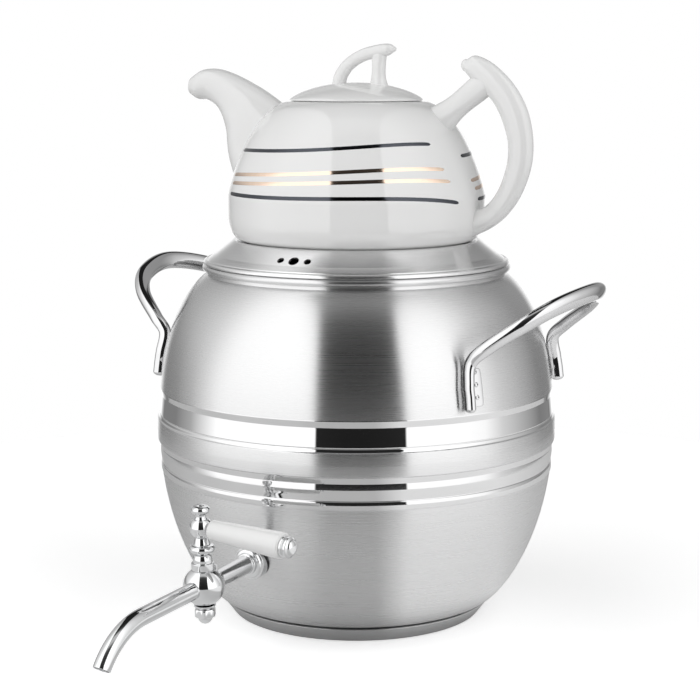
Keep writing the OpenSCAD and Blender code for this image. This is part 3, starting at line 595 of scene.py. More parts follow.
SHANK_LEN, TAP_Z, TAP_DIP, TAP_TURN, VALVE_R, PORT_R = 47.4, 50.2, 3.0, -2.0, 11.2, 2.2
PIPE_R, PIPE_WALL, PIPE_STRAIGHT, PIPE_BEND_R, PIPE_BEND, TAIL_R = 4.8, 0.9, 53.0, 42.0, 53.5, 5.0
LEVER_H, LEVER_DROOP, SLEEVE_LEN, SLEEVE_R_IN, SLEEVE_R_OUT, ROD_R = 32.6, 2.8, 46.5, 5.4, 7.3, 2.2
TAP_REACH = float(skin_r(TAP_Z)) + SHANK_LEN
BALL_TOP, BALL_BOTTOM, BORE_R_TOP, BORE_R_BOTTOM = VALVE_R - 1.9, 0.9 - VALVE_R, 5.32, 4.36
STEM_R, COLLAR_R, COLLAR_H, DISC_R = 2.4, 6.3, 8.6, 4.9
DISC_Z = BALL_TOP + COLLAR_H
DISC_MID = DISC_Z + 3.2
BOSS_R, BOSS_LOW, BOSS_HIGH = 6.3, LEVER_H - 5, LEVER_H + 4.6
BUTTON_Z = LEVER_H + 9.9
FLANGE_R, FLANGE_FACE_R, FLANGE_FRONT_H, FLANGE_RIM_H, GASKET_T = TAIL_R + 4.7, TAIL_R + 2.2, 1.8, 1.2, 1.4
WALL_LEAN = float(skin_r(TAP_Z + FLANGE_R) - skin_r(TAP_Z - FLANGE_R)) / (2 * FLANGE_R)
WALL_LEAN -= np.tan(np.radians(TAP_DIP))
FLANGE_Y = SHANK_LEN - FLANGE_R * WALL_LEAN - GASKET_T - FLANGE_RIM_H - FLANGE_FRONT_H
INNER_GASKET_T, WASHER_T, WASHER_OVER, LOCK_NUT_H, TAIL_SPARE = 1.6, 1, 4, 5, 4
TAIL_END = SHANK_LEN + (TAIL_R + WASHER_OVER) * WALL_LEAN + SHEET
TAIL_END += INNER_GASKET_T + WASHER_T + LOCK_NUT_H + TAIL_SPARE
THREAD_START, THREAD_STEP, THREAD_DEPTH = SHANK_LEN + 4, 0.75, 0.28
ALONG_SHANK = turn(0, -90)
NUT_TOP, NUT_H, NUT_R = BALL_BOTTOM - 2.3, 4.8, 6.2


def in_tap(shell, matrix=None, shift=(0, 0, 0)):
    """A shell of the tap's own frame, put where the tap is."""
    leaning = placed(placed(shell, matrix, shift), turn(0, TAP_DIP), (0, -TAP_REACH, TAP_Z))
    return placed(leaning, turn(2, TAP_TURN))


def on_lever(shell):
    """A shell turned about the lever's rod, put where the lever is."""
    return in_tap(shell, turn(1, 90 + LEVER_DROOP), (0, 0, LEVER_H))


def ball_outline():
    """The tap's ball: an arc between two flats, and the tapered bore for the plug."""
    skin = arc((0, 0), VALVE_R, 90 - np.degrees(np.arccos(BALL_TOP / VALVE_R)),
               -90 + np.degrees(np.arccos(-BALL_BOTTOM / VALVE_R)), 40)
    return np.concatenate([[(BORE_R_TOP, BALL_TOP)], skin, [(BORE_R_BOTTOM, BALL_BOTTOM)]])


def shank_outline():
    """The neck from the ball to the flange, then the threaded tail, with the waterway inside."""
    thread_y = np.arange(THREAD_START, TAIL_END - 0.6, THREAD_STEP)
    thread = np.stack([TAIL_R - THREAD_DEPTH * (np.arange(len(thread_y)) % 2), thread_y], -1)
    return np.concatenate([
        eased([
            (PORT_R, 6), (5.5, 6.5), (5.6, VALVE_R + 0.1), (4.75, VALVE_R + 0.7), (4.8, VALVE_R + 2),
            (5.25, FLANGE_Y - 1.4), (6.1, FLANGE_Y - 1.2), (6.1, FLANGE_Y - 0.1), (TAIL_R, FLANGE_Y)],
            0.4, 6),
        thread, [(TAIL_R - 0.6, TAIL_END), (PORT_R, TAIL_END)]])


def wall_y(x, z, out):
    """How far along the shank the belly's skin lies, moved out by a distance, at a place beside the axis."""
    dip = np.radians(TAP_DIP)
    y = np.full(np.shape(x), SHANK_LEN)
    for _ in range(6):
        height = y * np.sin(dip) + z * np.cos(dip) + TAP_Z
        back = TAP_REACH - out - np.sqrt(skin_r(height) ** 2 - x ** 2)
        y = (back + z * np.sin(dip)) / np.cos(dip)
    return y


def flange_shell(sides=96):
    """The tap's flange: a domed front, a rim, and a back that follows the belly."""
    front = eased([
        (TAIL_R, FLANGE_Y), (FLANGE_FACE_R - 0.6, FLANGE_Y), (FLANGE_FACE_R + 0.9, FLANGE_Y + 0.5),
        (FLANGE_R - 1.1, FLANGE_Y + FLANGE_FRONT_H), (FLANGE_R - 0.1, FLANGE_Y + FLANGE_FRONT_H),
        (FLANGE_R, FLANGE_Y + FLANGE_FRONT_H + 0.6)], 0.4, 6)
    a = around(sides)
    r = np.concatenate([front[:, 0], [FLANGE_R, 0.6 * FLANGE_R, TAIL_R]])[:, None]
    x, z = r * np.cos(a), r * np.sin(a)
    y = np.broadcast_to(np.concatenate([front[:, 1], [0, 0, 0]])[:, None], x.shape).copy()
    y[-3:] = wall_y(x[-3:], z[-3:], GASKET_T)
    return grid_shell(np.stack([x, y, z], -1), round_rows=True)


def pipe_grid(radius, rows, sides=48):
    """The outlet: a circle carried straight out, then round the bend."""
    bend = np.radians(PIPE_BEND) * PIPE_BEND_R
    s = np.linspace(8, PIPE_STRAIGHT + bend, rows)
    turned_by = np.clip((s - PIPE_STRAIGHT) / PIPE_BEND_R, 0, None)
    y = -np.minimum(s, PIPE_STRAIGHT) - PIPE_BEND_R * np.sin(turned_by)
    z = -PIPE_BEND_R * (1 - np.cos(turned_by))
    a = around(sides)[None, :]
    up_y, up_z = -np.sin(turned_by)[:, None], np.cos(turned_by)[:, None]
    r = np.broadcast_to(radius, (rows,))[:, None]
    return np.stack([
        r * np.cos(a), y[:, None] + r * np.sin(a) * up_y, z[:, None] + r * np.sin(a) * up_z], -1)


def outlet_shell(rows=90):
    """The outlet pipe: its outside and its bore, open at the far end."""
    return lipped_tube(pipe_grid(PIPE_R, rows), pipe_grid(PIPE_R - PIPE_WALL, rows), 1, PIPE_WALL * 0.35, 7)


def collar_outline():
    """The collar: a band, a groove and a crown that curves in to the disc."""
    crown_z = BALL_TOP + 4.6
    t = np.radians(np.linspace(0, 90, 12))
    crown = np.stack([4.1 + 1.3 * np.cos(t), crown_z + (DISC_Z - crown_z) * np.sin(t)], -1)
    band = eased([
        (STEM_R, BALL_TOP + 0.1), (COLLAR_R, BALL_TOP + 0.1), (COLLAR_R, BALL_TOP + 4),
        (COLLAR_R - 1, BALL_TOP + 4.1), (COLLAR_R - 1, crown_z)], 0.35)
    return np.concatenate([band, crown, [(STEM_R, DISC_Z)]])


def disc_outline():
    """The turned disc: a short foot, a round edge, and a cone up to the ball above."""
    edge = arc((DISC_R, DISC_MID), 2.1, -70, 70, 16)
    low = eased([(STEM_R, DISC_Z), (3.7, DISC_Z), (4.3, DISC_Z + 0.9), edge[0]], 0.4)
    high = eased([edge[-1], (4.6, DISC_MID + 2.4), (3.5, BOSS_LOW), (STEM_R, BOSS_LOW)], 0.5)
    return np.concatenate([low, edge, high])


def boss_outline():
    """The ball that holds the lever: an arc between two flats."""
    skin = arc((0, LEVER_H), BOSS_R, -52, 46.8, 26)
    return np.concatenate([[(STEM_R, BOSS_LOW)], skin, [(STEM_R, BOSS_HIGH)]])


def button_outline():
    """The top button: a waisted neck, a round edge and a low nipple."""
    edge = arc((2.9, BUTTON_Z), 2.2, -75, 80, 16)
    neck = eased([
        (0, BOSS_HIGH), (3.6, BOSS_HIGH), (2.9, BOSS_HIGH + 1.4), (2.9, BUTTON_Z - 2.4), edge[0]], 0.5)
    top = eased([edge[-1], (2.5, BUTTON_Z + 2.25), (1.7, BUTTON_Z + 3), (0, BUTTON_Z + 3.1)], 0.4)
    return np.concatenate([neck, edge, top[1:]])


def sleeve_outline():
    """The white sleeve, wider outwards, with rounded ends and the rod's bore."""
    start = BOSS_R + 0.3
    end = start + SLEEVE_LEN
    return eased([
        (ROD_R, start), (SLEEVE_R_IN, start), (SLEEVE_R_OUT, end - 0.1), (ROD_R, end)], 1.5, 9, closed=True)


def end_cap_outline():
    """The screwed cap at the lever's end: a washer, a groove, a head and a low dome."""
    z = BOSS_R + 0.3 + SLEEVE_LEN
    r = SLEEVE_R_OUT - 1.4
    t = np.linspace(0, 0.5 * np.pi, 9)
    return np.concatenate([
        eased([(0, z), (r, z), (r, z + 1.5), (r - 0.9, z + 1.8), (r - 0.9, z + 2.4), (r - 0.2, z + 2.7),
               (r - 0.2, z + 4.1), (r - 1.3, z + 4.7)], 0.3),
        np.stack([(r - 1.5) * np.cos(t), z + 4.8 + 2.1 * np.sin(t)], -1)])


def acorn_shells(sides=96):
    """The acorn nut: six flats with turned corners, and the round head under it."""
    low = NUT_TOP - NUT_H
    a = around(sides)
    flats = NUT_R * np.cos(TAU / 12) / np.cos(np.mod(a, TAU / 6) - TAU / 12)
    z = np.array([low, low + 0.02, low + 0.7, NUT_TOP - 0.7, NUT_TOP - 0.02, NUT_TOP])
    limit = np.array([4.6, 4.8, 5.9, 5.9, 5.2, 5.0])
    r = np.minimum(flats[None, :], limit[:, None])
    head_r, overlap = 4.0, 0.5
    head = turned(np.concatenate([
        arc((0, low), head_r, -90, 0, 12), [(head_r, low + overlap), (0, low + overlap)]]), 64)
    return [grid_shell(round_z(r, a, z[:, None])), head]


# Lid with the teapot's seat

POT_R, POT_H, POT_FOOT_R, POT_WALL, WIDE_FROM, WIDE_TO, REST_GAP = 76.4, 82.0, 66.0, 3.4, 17, 27, 0.15
LID_R, LID_LEDGE, DOME_H, TEAPOT_TURN = 39.2, 5.2, 10.6, 6.0
SHOULDER_R, MOUTH_R = LID_R - 2.8, LID_R - LID_LEDGE
SEAT_Z = RIM_TOP + 13.1
POT_Z = SEAT_Z + REST_GAP
POT_TOP = POT_Z + POT_H


def pot_skin(h):
    """Radius of the teapot by height: a straight between two curves, each (1 - share^n)^(1/m) of its way."""
    h = np.asarray(h, float)
    low = np.clip((WIDE_FROM - h) / WIDE_FROM, 0, 1)
    high = np.clip((h - WIDE_TO) / (POT_H + 0.4 - WIDE_TO), 0, 1)
    foot = POT_FOOT_R + (POT_R - POT_FOOT_R) * np.sqrt(1 - low ** 2.6)
    shoulder = SHOULDER_R + (POT_R - SHOULDER_R) * (1 - high ** 1.15) ** (1 / 2.1)
    return np.where(h < WIDE_FROM, foot, np.where(h < WIDE_TO, POT_R, shoulder))


LIP_H, LIP_IN = 1.1, 0.9
SEAT_R = float(pot_skin(LIP_H - REST_GAP)) + 1 - LIP_IN
STEAM_R = POT_FOOT_R - 14
LIP_Z = SEAT_Z + LIP_H
CONE_TOP = np.array((SEAT_R + 3.6, LIP_Z - 0.5))
CONE_FOOT = np.array((RIM_C - 5.9, RIM_TOP + 5.8))
FLANGE_Z, SKIRT_R, SKIRT_Z = RIM_TOP + REST_GAP + 0.1, RIM_C - 0.4 - SHEET - 1.7, RIM_TOP - 11
VENT_SHARE, VENT_STEP, VENT_TURN, VENT_BIG_R, VENT_SMALL_R = 0.68, 6.0, 4.0, 3.1, 2.1


def seat_lid_outline():
    """The lid: a seat for the teapot's foot, a raised lip, the cone, a step and the rolled flange."""
    seat, lip = np.array((SEAT_R, SEAT_Z)), np.array((SEAT_R, LIP_Z))
    step, edge = np.array((RIM_C, RIM_TOP + 2.5)), np.array((RIM_C + 1.4, RIM_TOP + 2.5))
    return eased([
        (STEAM_R, SEAT_Z), seat + (-0.4, 0), seat + (0.2, 0.3), lip + (LIP_IN, -0.1), lip + (2.4, 0),
        CONE_TOP, CONE_FOOT, CONE_FOOT + (1, -0.6), step + (-1.6, 0.6), step + (-1.3, 0), step + (-0.8, 0),
        step + (-0.4, 0.3), edge + (-0.6, -0.3), edge + (0, -1.2), (edge[0], FLANGE_Z),
        (SKIRT_R - SHEET, FLANGE_Z), CONE_FOOT + (-0.4, -1.6), lip + (3, -1.5), seat + (1, -SHEET),
        (STEAM_R, SEAT_Z - SHEET)], 0.3, 5, closed=True)


def ring_outline():
    """The ring under the lid that keeps it in the middle of the rim, its lower edge rounded."""
    low = SKIRT_Z + SHEET / 2
    edge = arc((SKIRT_R - SHEET / 2, low), SHEET / 2, 0, -180, 9)
    return np.concatenate([[(SKIRT_R - SHEET, FLANGE_Z), (SKIRT_R, FLANGE_Z)], edge])


def vent_drills():
    """Three round drills, square to the cone."""
    at = CONE_TOP + VENT_SHARE * (CONE_FOOT - CONE_TOP)
    fall = np.degrees(np.arctan2(CONE_TOP[1] - CONE_FOOT[1], CONE_FOOT[0] - CONE_TOP[0]))
    shells = []
    for k in (-1, 0, 1):
        r = VENT_SMALL_R if k else VENT_BIG_R
        rod = placed(turned([(0, -4), (r, -4), (r, 4), (0, 4)], 48), turn(1, fall), (at[0], 0, at[1]))
        shells.append(placed(rod, turn(2, -90 + VENT_TURN + k * VENT_STEP)))
    return shells


# Teapot. In its own frame the handle points to +X and the spout to -X.

IN_POT = turn(2, TEAPOT_TURN)
STRAINER_R, STRAINER_STEP = 2.4, 9


def teapot_outline():
    """The teapot's wall as one closed line, from the foot ring up, over the mouth and down the inside."""
    t = 0.5 - 0.5 * np.cos(np.linspace(0, np.pi, 90))
    h = np.concatenate([POT_H * t[t < 0.985], [POT_H - 0.5]])
    skin = np.stack([pot_skin(h), POT_Z + h], -1)
    inner_h = h[(h > POT_WALL + 1.8) & (h < POT_H - POT_WALL)][::-2]
    inside = np.stack([pot_skin(inner_h) - POT_WALL, POT_Z + inner_h], -1)
    floor_z = POT_Z + POT_WALL + 1.6
    edge = np.array((POT_FOOT_R, POT_Z))
    foot = eased([
        (0, POT_Z + 1.6), edge + (-6, 1.6), edge + (-5, 0), edge + (-0.6, 0), edge + (1.2, 0.5)], 0.6, 5)
    mouth = eased([
        skin[-1], (SHOULDER_R + 1, POT_TOP), (MOUTH_R, POT_TOP), (MOUTH_R, POT_TOP - POT_WALL), inside[0]],
        0.6, 5)
    floor = [(inside[-1][0] - 3, floor_z), (0, floor_z)]
    return np.concatenate([foot[:-1], skin[4:], mouth[1:-1], inside, floor])


def strainer_drills():
    """Nine round drills in three rows, behind the spout."""
    rod = placed(turned([(0, 0), (STRAINER_R, 0), (STRAINER_R, 30), (0, 30)], 20), turn(1, -90))
    shells = []
    for share, aside in ((0.54, 0), (0.65, 0.5), (0.76, 0)):
        for k in (-1, 0, 1):
            at = (-POT_R + 32, STRAINER_STEP * (k + aside), POT_Z + POT_H * share)
            shells.append(placed(placed(rod, shift=at), IN_POT))
    return shells


def flat_sections(outline, z, flip=1):
    """Sections from a table: a middle between two points, a half axis up to the top one, and one across."""
    table = np.array(outline, float)
    top, low, half_w = table[:, :2] + (0, z), table[:, 2:4] + (0, z), flip * table[:, 4:]
    middle, half_h = (np.insert(v / 2, 1, 0, axis=1) for v in (top + low, top - low))
    return np.stack([middle, half_h, half_w * (0, 1, 0)], 1)


# Bars and spout: reach and height of the top point, then of the low point, and half the width
SPOUT = [
    (44, 77, 74, 19, 17), (59, 86.8, 82.4, 45, 15), (69, 92.2, 84.6, 63, 12.5),
    (80, 97.2, 89.6, 75.6, 10.6), (91, 100.4, 97.4, 81.4, 9.6), (101, 100, 104.8, 82.2, 9.2),
    (109.4, 95.4, 109.8, 85, 6.4)]
HANDLE = [
    (70, 2.8, 70, 20, 7), (88, 12, 80.5, 22, 6), (100, 25, 88.6, 31.4, 5.8), (107.4, 42, 93.6, 45.4, 5.8),
    (109.2, 58.4, 94.6, 57.8, 6), (106, 76, 91.2, 70.5, 6.2), (98, 90.8, 85.5, 81.5, 6.2),
    (86, 102.6, 77.5, 89.5, 6), (75, 108, 72.5, 94, 5.2), (69, 106, 68, 99, 3.6)]
STRUT = [
    (55, 58, 42, 76.5, 9), (66, 72.4, 57, 83.6, 6), (80, 83.2, 71, 95, 5.6), (89, 90, 79, 101.5, 5.8)]
ARCH = [
    (-15.5, -2.4, -7.5, -2.4, 4.2), (-13.2, 5.6, -5.8, 3.2, 3.9), (-7, 13.2, -1.2, 8.4, 3.8),
    (3, 19, 5.8, 12.2, 3.8), (14, 21.8, 14.4, 14.2, 4), (20.8, 22.2, 20.4, 15.4, 3.8),
    (24.3, 20.4, 24, 17.6, 1.6)]
POST = [
    (8.6, -2.6, 20, -2.6, 5.6), (10, 3, 18.4, 3, 4.2), (10.4, 10, 18.4, 10, 4), (9.6, 18, 19.4, 18, 3.6)]
SPOUT_WALL, SPOUT_FULLNESS, BAR_FULLNESS, LIP_HALF_W, LIP_SHARE = 2.6, 0.94, 0.92, 7, 0.7


def spout_sections(inset):
    """The spout's sections, each drawn in by the inset, and by a share of it at the narrow lip."""
    table = np.array(SPOUT) * (-1, 1, -1, 1, 1)
    draw = inset * np.where(table[:, 4:] < LIP_HALF_W, LIP_SHARE, 1)
    up = unit(table[:, :2] - table[:, 2:4]) * draw
    table[:, :2] -= up
    table[:, 2:4] += up
    table[:, 4:] -= draw
    return flat_sections(table, POT_Z, -1)


def share_in_wall(sections, sides, fullness, depth=1.9):
    """For each side of a carried shape, the share of its way at which it comes out of the teapot's wall."""
    steps = 500
    grid = carried(sections, steps, sides, 0.0, fullness)
    inside = np.hypot(grid[..., 0], grid[..., 1]) < pot_skin(grid[..., 2] - POT_Z) - depth
    inside &= grid[..., 2] < POT_TOP - depth
    last = steps - 1 - np.argmax(inside[::-1], 0)
    return np.where(inside.any(0), last / (steps - 1), 0.0)


def spout_shell(rows=90, sides=56):
    """The spout: sections carried along a path that starts inside the teapot's wall, with a bore."""
    skin, bore = (
        carried(sections, rows, sides, share_in_wall(sections, sides, SPOUT_FULLNESS), SPOUT_FULLNESS)
        for sections in (spout_sections(0.0), spout_sections(SPOUT_WALL)))
    return lipped_tube(skin, bore, 2, 0.8, 9)


def rooted(outline, rows, sides, domed=True):
    """A solid bar: flat sections carried along a path that starts inside the teapot's wall."""
    sections = flat_sections(outline, POT_Z)
    grid = carried(sections, rows, sides, share_in_wall(sections, sides, BAR_FULLNESS), BAR_FULLNESS)
    return grid_shell(round_end(grid) if domed else grid)


def dome_outline():
    """The teapot's lid: a dome z = (1 - x^2.1)^0.8 over a thin edge, and a skirt that goes into the mouth."""
    z = POT_TOP + REST_GAP
    x = np.sin(np.linspace(0.5 * np.pi, 0, 40))
    top = np.stack([LID_R * x, z + 0.8 + (DOME_H - 0.8) * (1 - x ** 2.1) ** 0.8], -1)
    skirt_r = MOUTH_R - 0.6
    in_r, in_z = skirt_r - 3, z + DOME_H - 3
    under = eased([
        (0, in_z), (0.72 * in_r, in_z - 1.6), (in_r, z + 1.6), (in_r, z - 8), (skirt_r, z - 8), (skirt_r, z),
        (LID_R - 0.3, z), (LID_R, z + 0.4)], 0.5, 5)
    return np.concatenate([under, top])


def knob_shell(outline, rows, domed):
    """A part of the lid's handle: flat sections carried up from inside the dome."""
    grid = carried(flat_sections(outline, POT_TOP + REST_GAP + DOME_H), rows, 32, 0.0, 0.9)
    return grid_shell(round_end(grid) if domed else grid)


LINE_W, LINE_T, LINE_PROUD = 2.2, 0.06, 0.012
LINES = {
    "platinum": [
        [(-146, 53.8), (-120, 54.6), (-89, 56.0), (-76, 56.8), (-57, 58.4), (-44, 58.8), (-26, 58.7)],
        [(-141, 29.1), (-112, 29.2), (-77, 29.6), (-55, 30.0), (-39, 28.8), (-17, 25.7)]],
    "gold": [
        [(-144, 39.8), (-114, 41.6), (-77, 43.9), (-55, 45.3), (-41, 45.5), (-22, 44.6)],
        [(-142, 35.1), (-107, 36.9), (-77, 38.3), (-54, 39.4), (-37, 39.0), (-20, 37.8)]]}
SECOND_TURN, SECOND_DROP = 141.0, 2.6


def line_shell(places, turned_by, drop, rows=150, sides=10):
    """A painted line on the teapot: a thin lens-shaped section carried round it at slowly changing height."""
    places = np.array(places, float)
    bend = np.polyfit(places[:, 0], places[:, 1], 4)
    azimuth = np.linspace(places[0, 0], places[-1, 0], rows)
    a = around(sides)
    taper = np.sqrt(np.clip(1 - np.abs(np.linspace(-1, 1, rows)) ** 60, 0.02, 1))[:, None]
    middle = (np.polyval(bend, azimuth) - drop)[:, None]
    slope = pot_skin(middle + 0.5) - pot_skin(middle - 0.5)
    rise = 1 / np.sqrt(1 + slope ** 2)
    h = middle + LINE_W / 2 * taper * np.cos(a) * rise
    proud = LINE_T * taper * np.sin(a) + LINE_PROUD
    r = pot_skin(h) + proud * rise
    z = POT_Z + h - proud * slope * rise
    round_by = np.radians(azimuth + turned_by)[:, None]
    return grid_shell(round_z(r, round_by, z))


def painted(metal):
    """The lines of one metal, on both sides of the teapot."""
    sides = (0, 0), (SECOND_TURN, SECOND_DROP)
    return [line_shell(places, *side) for side in sides for places in LINES[metal]]


# Finishes of this kettle

belly_steel = brushed_steel("belly_brushed_steel", (0.71, 0.71, 0.712), 0.6, 0.28, POLISHED)
lid_steel = brushed_steel("lid_brushed_steel", (0.82, 0.82, 0.822), 0.9, 0.24)
base_steel = brushed_steel("base_brushed_steel", (0.66, 0.66, 0.662), 0.6, 0.24)
handle_steel = bright_metal("handle_polished_steel", (0.7, 0.7, 0.705), 0.06, 0.04)
chrome = bright_metal("tap_mirror_chrome", (0.8, 0.805, 0.81), 0.02, 0.01)
plain_steel = bright_metal("plain_turned_steel", (0.55, 0.55, 0.56), 0.25, 0.1, 200.0, 0.03)
brass = bright_metal("lock_nut_brass", (0.72, 0.56, 0.28), 0.25, 0.1, 200.0, 0.03)
core_metal = bright_metal("core_aluminium", (0.6, 0.6, 0.61), 0.4, 0.1, 200.0, 0.05)
gasket_black = rubber("gasket_black_rubber", (0.02, 0.02, 0.021))
porcelain = glazed("teapot_white_porcelain", (0.84, 0.84, 0.836))
sleeve_white = glazed("sleeve_white_porcelain", (0.87, 0.87, 0.866))
gold_line = bright_metal("line_pale_gold", (0.92, 0.72, 0.58), 0.09, 0.04, 300.0)
platinum_line = bright_metal("line_dark_platinum", (0.075, 0.08, 0.092), 0.1, 0.04, 300.0)

# The kettle

piece("kettle_shell", [turned(belly_outline(), 240)], belly_steel, "kettle", ["kettle_body"],
      CREASED)
piece("kettle_base", [turned(base_outline(), 180)], base_steel, "kettle", ["base_cap"])
for side, turned_by in (("right", 0.0), ("left", LEFT_HANDLE_TURN)):
    piece(f"handle_bar_{side}", handle_shells(turned_by), handle_steel, "kettle", [f"side_handle_{side}"])

# The tap

ball_and_neck = [in_tap(turned(ball_outline(), 96)), in_tap(turned(shank_outline(), 72), ALONG_SHANK)]
for name, shells, body, node in (
        ("tap_ball_and_neck", ball_and_neck, "kettle", "tap_body"),
        ("tap_outlet", [in_tap(outlet_shell())], "kettle", "tap_outlet_pipe"),
        ("tap_flange", [in_tap(flange_shell())], "kettle", "tap_flange_nut"),
        ("finial_collar", [in_tap(turned(collar_outline(), 72))], "tap_lever", "tap_collar"),
        ("finial_ring", [in_tap(turned(disc_outline(), 72))], "tap_lever", "finial_disc"),
        ("finial_ball", [in_tap(turned(boss_outline(), 72))], "tap_lever", "lever_boss"),
        ("finial_top", [in_tap(turned(button_outline(), 72))], "tap_lever", "finial_button"),
        ("lever_grip", [on_lever(turned(sleeve_outline(), 72))], "tap_lever", "lever_sleeve"),
        ("lever_cap", [on_lever(turned(end_cap_outline(), 72))], "tap_lever", "lever_end_cap"),
        ("tap_acorn", [in_tap(s) for s in acorn_shells()], "tap_lever", "acorn_nut")):
    white = node == "lever_sleeve"
    piece(name, shells, sleeve_white if white else chrome, body, [node])

# The lid

piece("lid_with_seat", [turned(seat_lid_outline(), 240)], lid_steel, "seat_lid", ["seat_lid"],
      CREASED, vent_drills())
piece("lid_centring_ring", [turned(ring_outline(), 180)], lid_steel, "seat_lid", ["lid_ring"])

# The teapot

for name, shells, material, body, nodes, sharp, cut in (
        ("pot_shell", [turned(teapot_outline(), 160)], porcelain, "teapot", ["teapot_body"], PLAIN,
         strainer_drills()),
        ("pot_spout", [spout_shell()], porcelain, "teapot", ["teapot_spout"], SOFT, None),
        ("pot_handle", [rooted(HANDLE, 130, 40), rooted(STRUT, 60, 40, domed=False)], porcelain, "teapot",
         ["teapot_handle"], SOFT, None),
        ("pot_lines_platinum", painted("platinum"), platinum_line, "teapot", [], ROUND, None),
        ("pot_lines_gold", painted("gold"), gold_line, "teapot", [], ROUND, None),
        ("pot_lid", [turned(dome_outline(), 128)], porcelain, "teapot_lid", ["teapot_lid"], PLAIN, None),
        ("pot_lid_handle", [knob_shell(ARCH, 70, True), knob_shell(POST, 30, False)], porcelain, "teapot_lid",
         ["teapot_lid_handle"], SOFT, None)):
    piece(name, [placed(s, IN_POT) for s in shells], material, body, nodes, sharp, cut)

# Small parts of the frame that keep their own shape and get their finish

for node, material in {
        "base_core": core_metal, "tap_gasket_outer": gasket_black, "tap_gasket_inner": gasket_black,
        "tap_washer_inner": plain_steel, "tap_lock_nut": brass, "tap_stop_pin": chrome, "tap_plug": chrome,
        "lever_rod": plain_steel, "plug_washer": chrome, "spring_washer": plain_steel}.items():
    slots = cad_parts[node].data.materials
    slots.clear()
    slots.append(material)


# Floor, light and camera. Angles are counted from the camera's side, right of it positive.

TO_CAMERA = (0.4955, -0.8686, 0.0)
TO_RIGHT = (-TO_CAMERA[1], TO_CAMERA[0], 0.0)
HEADING = np.arctan2(TO_CAMERA[0], -TO_CAMERA[1])
FLOOR_R, FLOOR_GREY, FLOOR_LIFT = 550.0, 0.6, 0.378
# Painted light: the glow of the floor that only the metal sees, by angle from the camera's side
PAINTED_FLOOR_GLOW = [
    (-180, 0.15), (-140, 0.05), (-100, 0.2), (-60, 0.28), (-30, 0.22), (-14, 0.1), (9, 0.1), (22, 0.48),
    (75, 0.55), (110, 0.33), (150, 0.1), (180, 0.15)]
# Painted shadow: radii in metres inside which the floor's glow is gone, and by which it is full again
PAINTED_SHADOW_FULL_TO, PAINTED_SHADOW_FADES_TO = 0.075, 0.102
LEVEL = [
    (-180, 0.95), (-163, 0.8), (-152, 0.17), (-128, 0.19), (-110, 0.36), (-97, 0.7), (-86, 1.0), (-24, 1.0),
    (60, 1.0), (78, 0.92), (92, 0.6), (110, 0.4), (132, 0.18), (152, 0.2), (166, 0.85), (180, 0.95)]
RAISED = [
    (-180, 0.35), (-150, 0.36), (-130, 0.46), (-100, 0.68), (-80, 1.05), (-24, 1.1), (50, 1.1), (70, 1.0),
    (90, 0.6), (130, 0.26), (180, 0.3)]
TOP = [
    (-180, 0.5), (-130, 0.75), (-95, 1.0), (-60, 1.2), (-25, 0.9), (25, 0.8), (60, 0.95), (95, 0.6),
    (130, 0.3), (180, 0.45)]
BELOW = [(-180, 0.3), (-90, 0.35), (0, 0.1), (60, 0.5), (120, 0.4), (180, 0.3)]
IN_GAP = [
    (0.4, 0.012), (0.5, 0.05), (0.57, 0.42), (0.66, 0.42), (0.74, 0.06), (0.83, 0.03), (1.0, 0.012)]
GAP_MIDDLE, GAP_DRIFT, GAP_NARROWING, GAP_INSIDE, GAP_OUTSIDE = 0.04, -0.05, 0.065, 0.416, 0.438
GAP_ENDS, BACK_STARTS = -0.78, -0.93
TO_RAISED, TO_TOP, TO_BELOW = (-0.08, 0.25), (0.6, 0.97), (-0.3, -0.5)
PANEL_STRENGTH = 1.4
LAMP_PLACE, LAMP_TILT, LAMP_SIZE, LAMP_WATTS = (0.62, -1.08, 0.75), 64, 1.2, 2.9
CAMERA_PLACE, CAMERA_PITCH, CAMERA_LENS, CAMERA_SHIFT = (0.5154, -0.9036, 0.3257), 9.217, 90.0, -0.009
SENSOR_W = 36.0


def dot(tree, direction, vector):
    """The share of a direction that lies along a vector."""
    return add(tree, "VectorMath", {0: direction, 1: vector}, "Value", operation="DOT_PRODUCT")


def round_from_camera(tree, vector):
    """The angle of a vector seen from above, from 0 to 1 with a half straight towards the camera."""
    ahead, across = dot(tree, vector, TO_CAMERA), dot(tree, vector, TO_RIGHT)
    return maths(tree, "MULTIPLY_ADD", maths(tree, "ARCTAN2", across, ahead), 0.5 / np.pi, 0.5)


def all_round(tree, azimuth, stops):
    """A grey read by the angle from the camera's side, in degrees."""
    return ramp(tree, azimuth, [((angle + 180) / 360, grey) for angle, grey in stops])


def between(tree, value, low, high):
    """How far a value is from low to high, eased at both ends."""
    return add(tree, "MapRange", {
        "Value": value, "From Min": low, "From Max": high}, interpolation_type="SMOOTHSTEP")


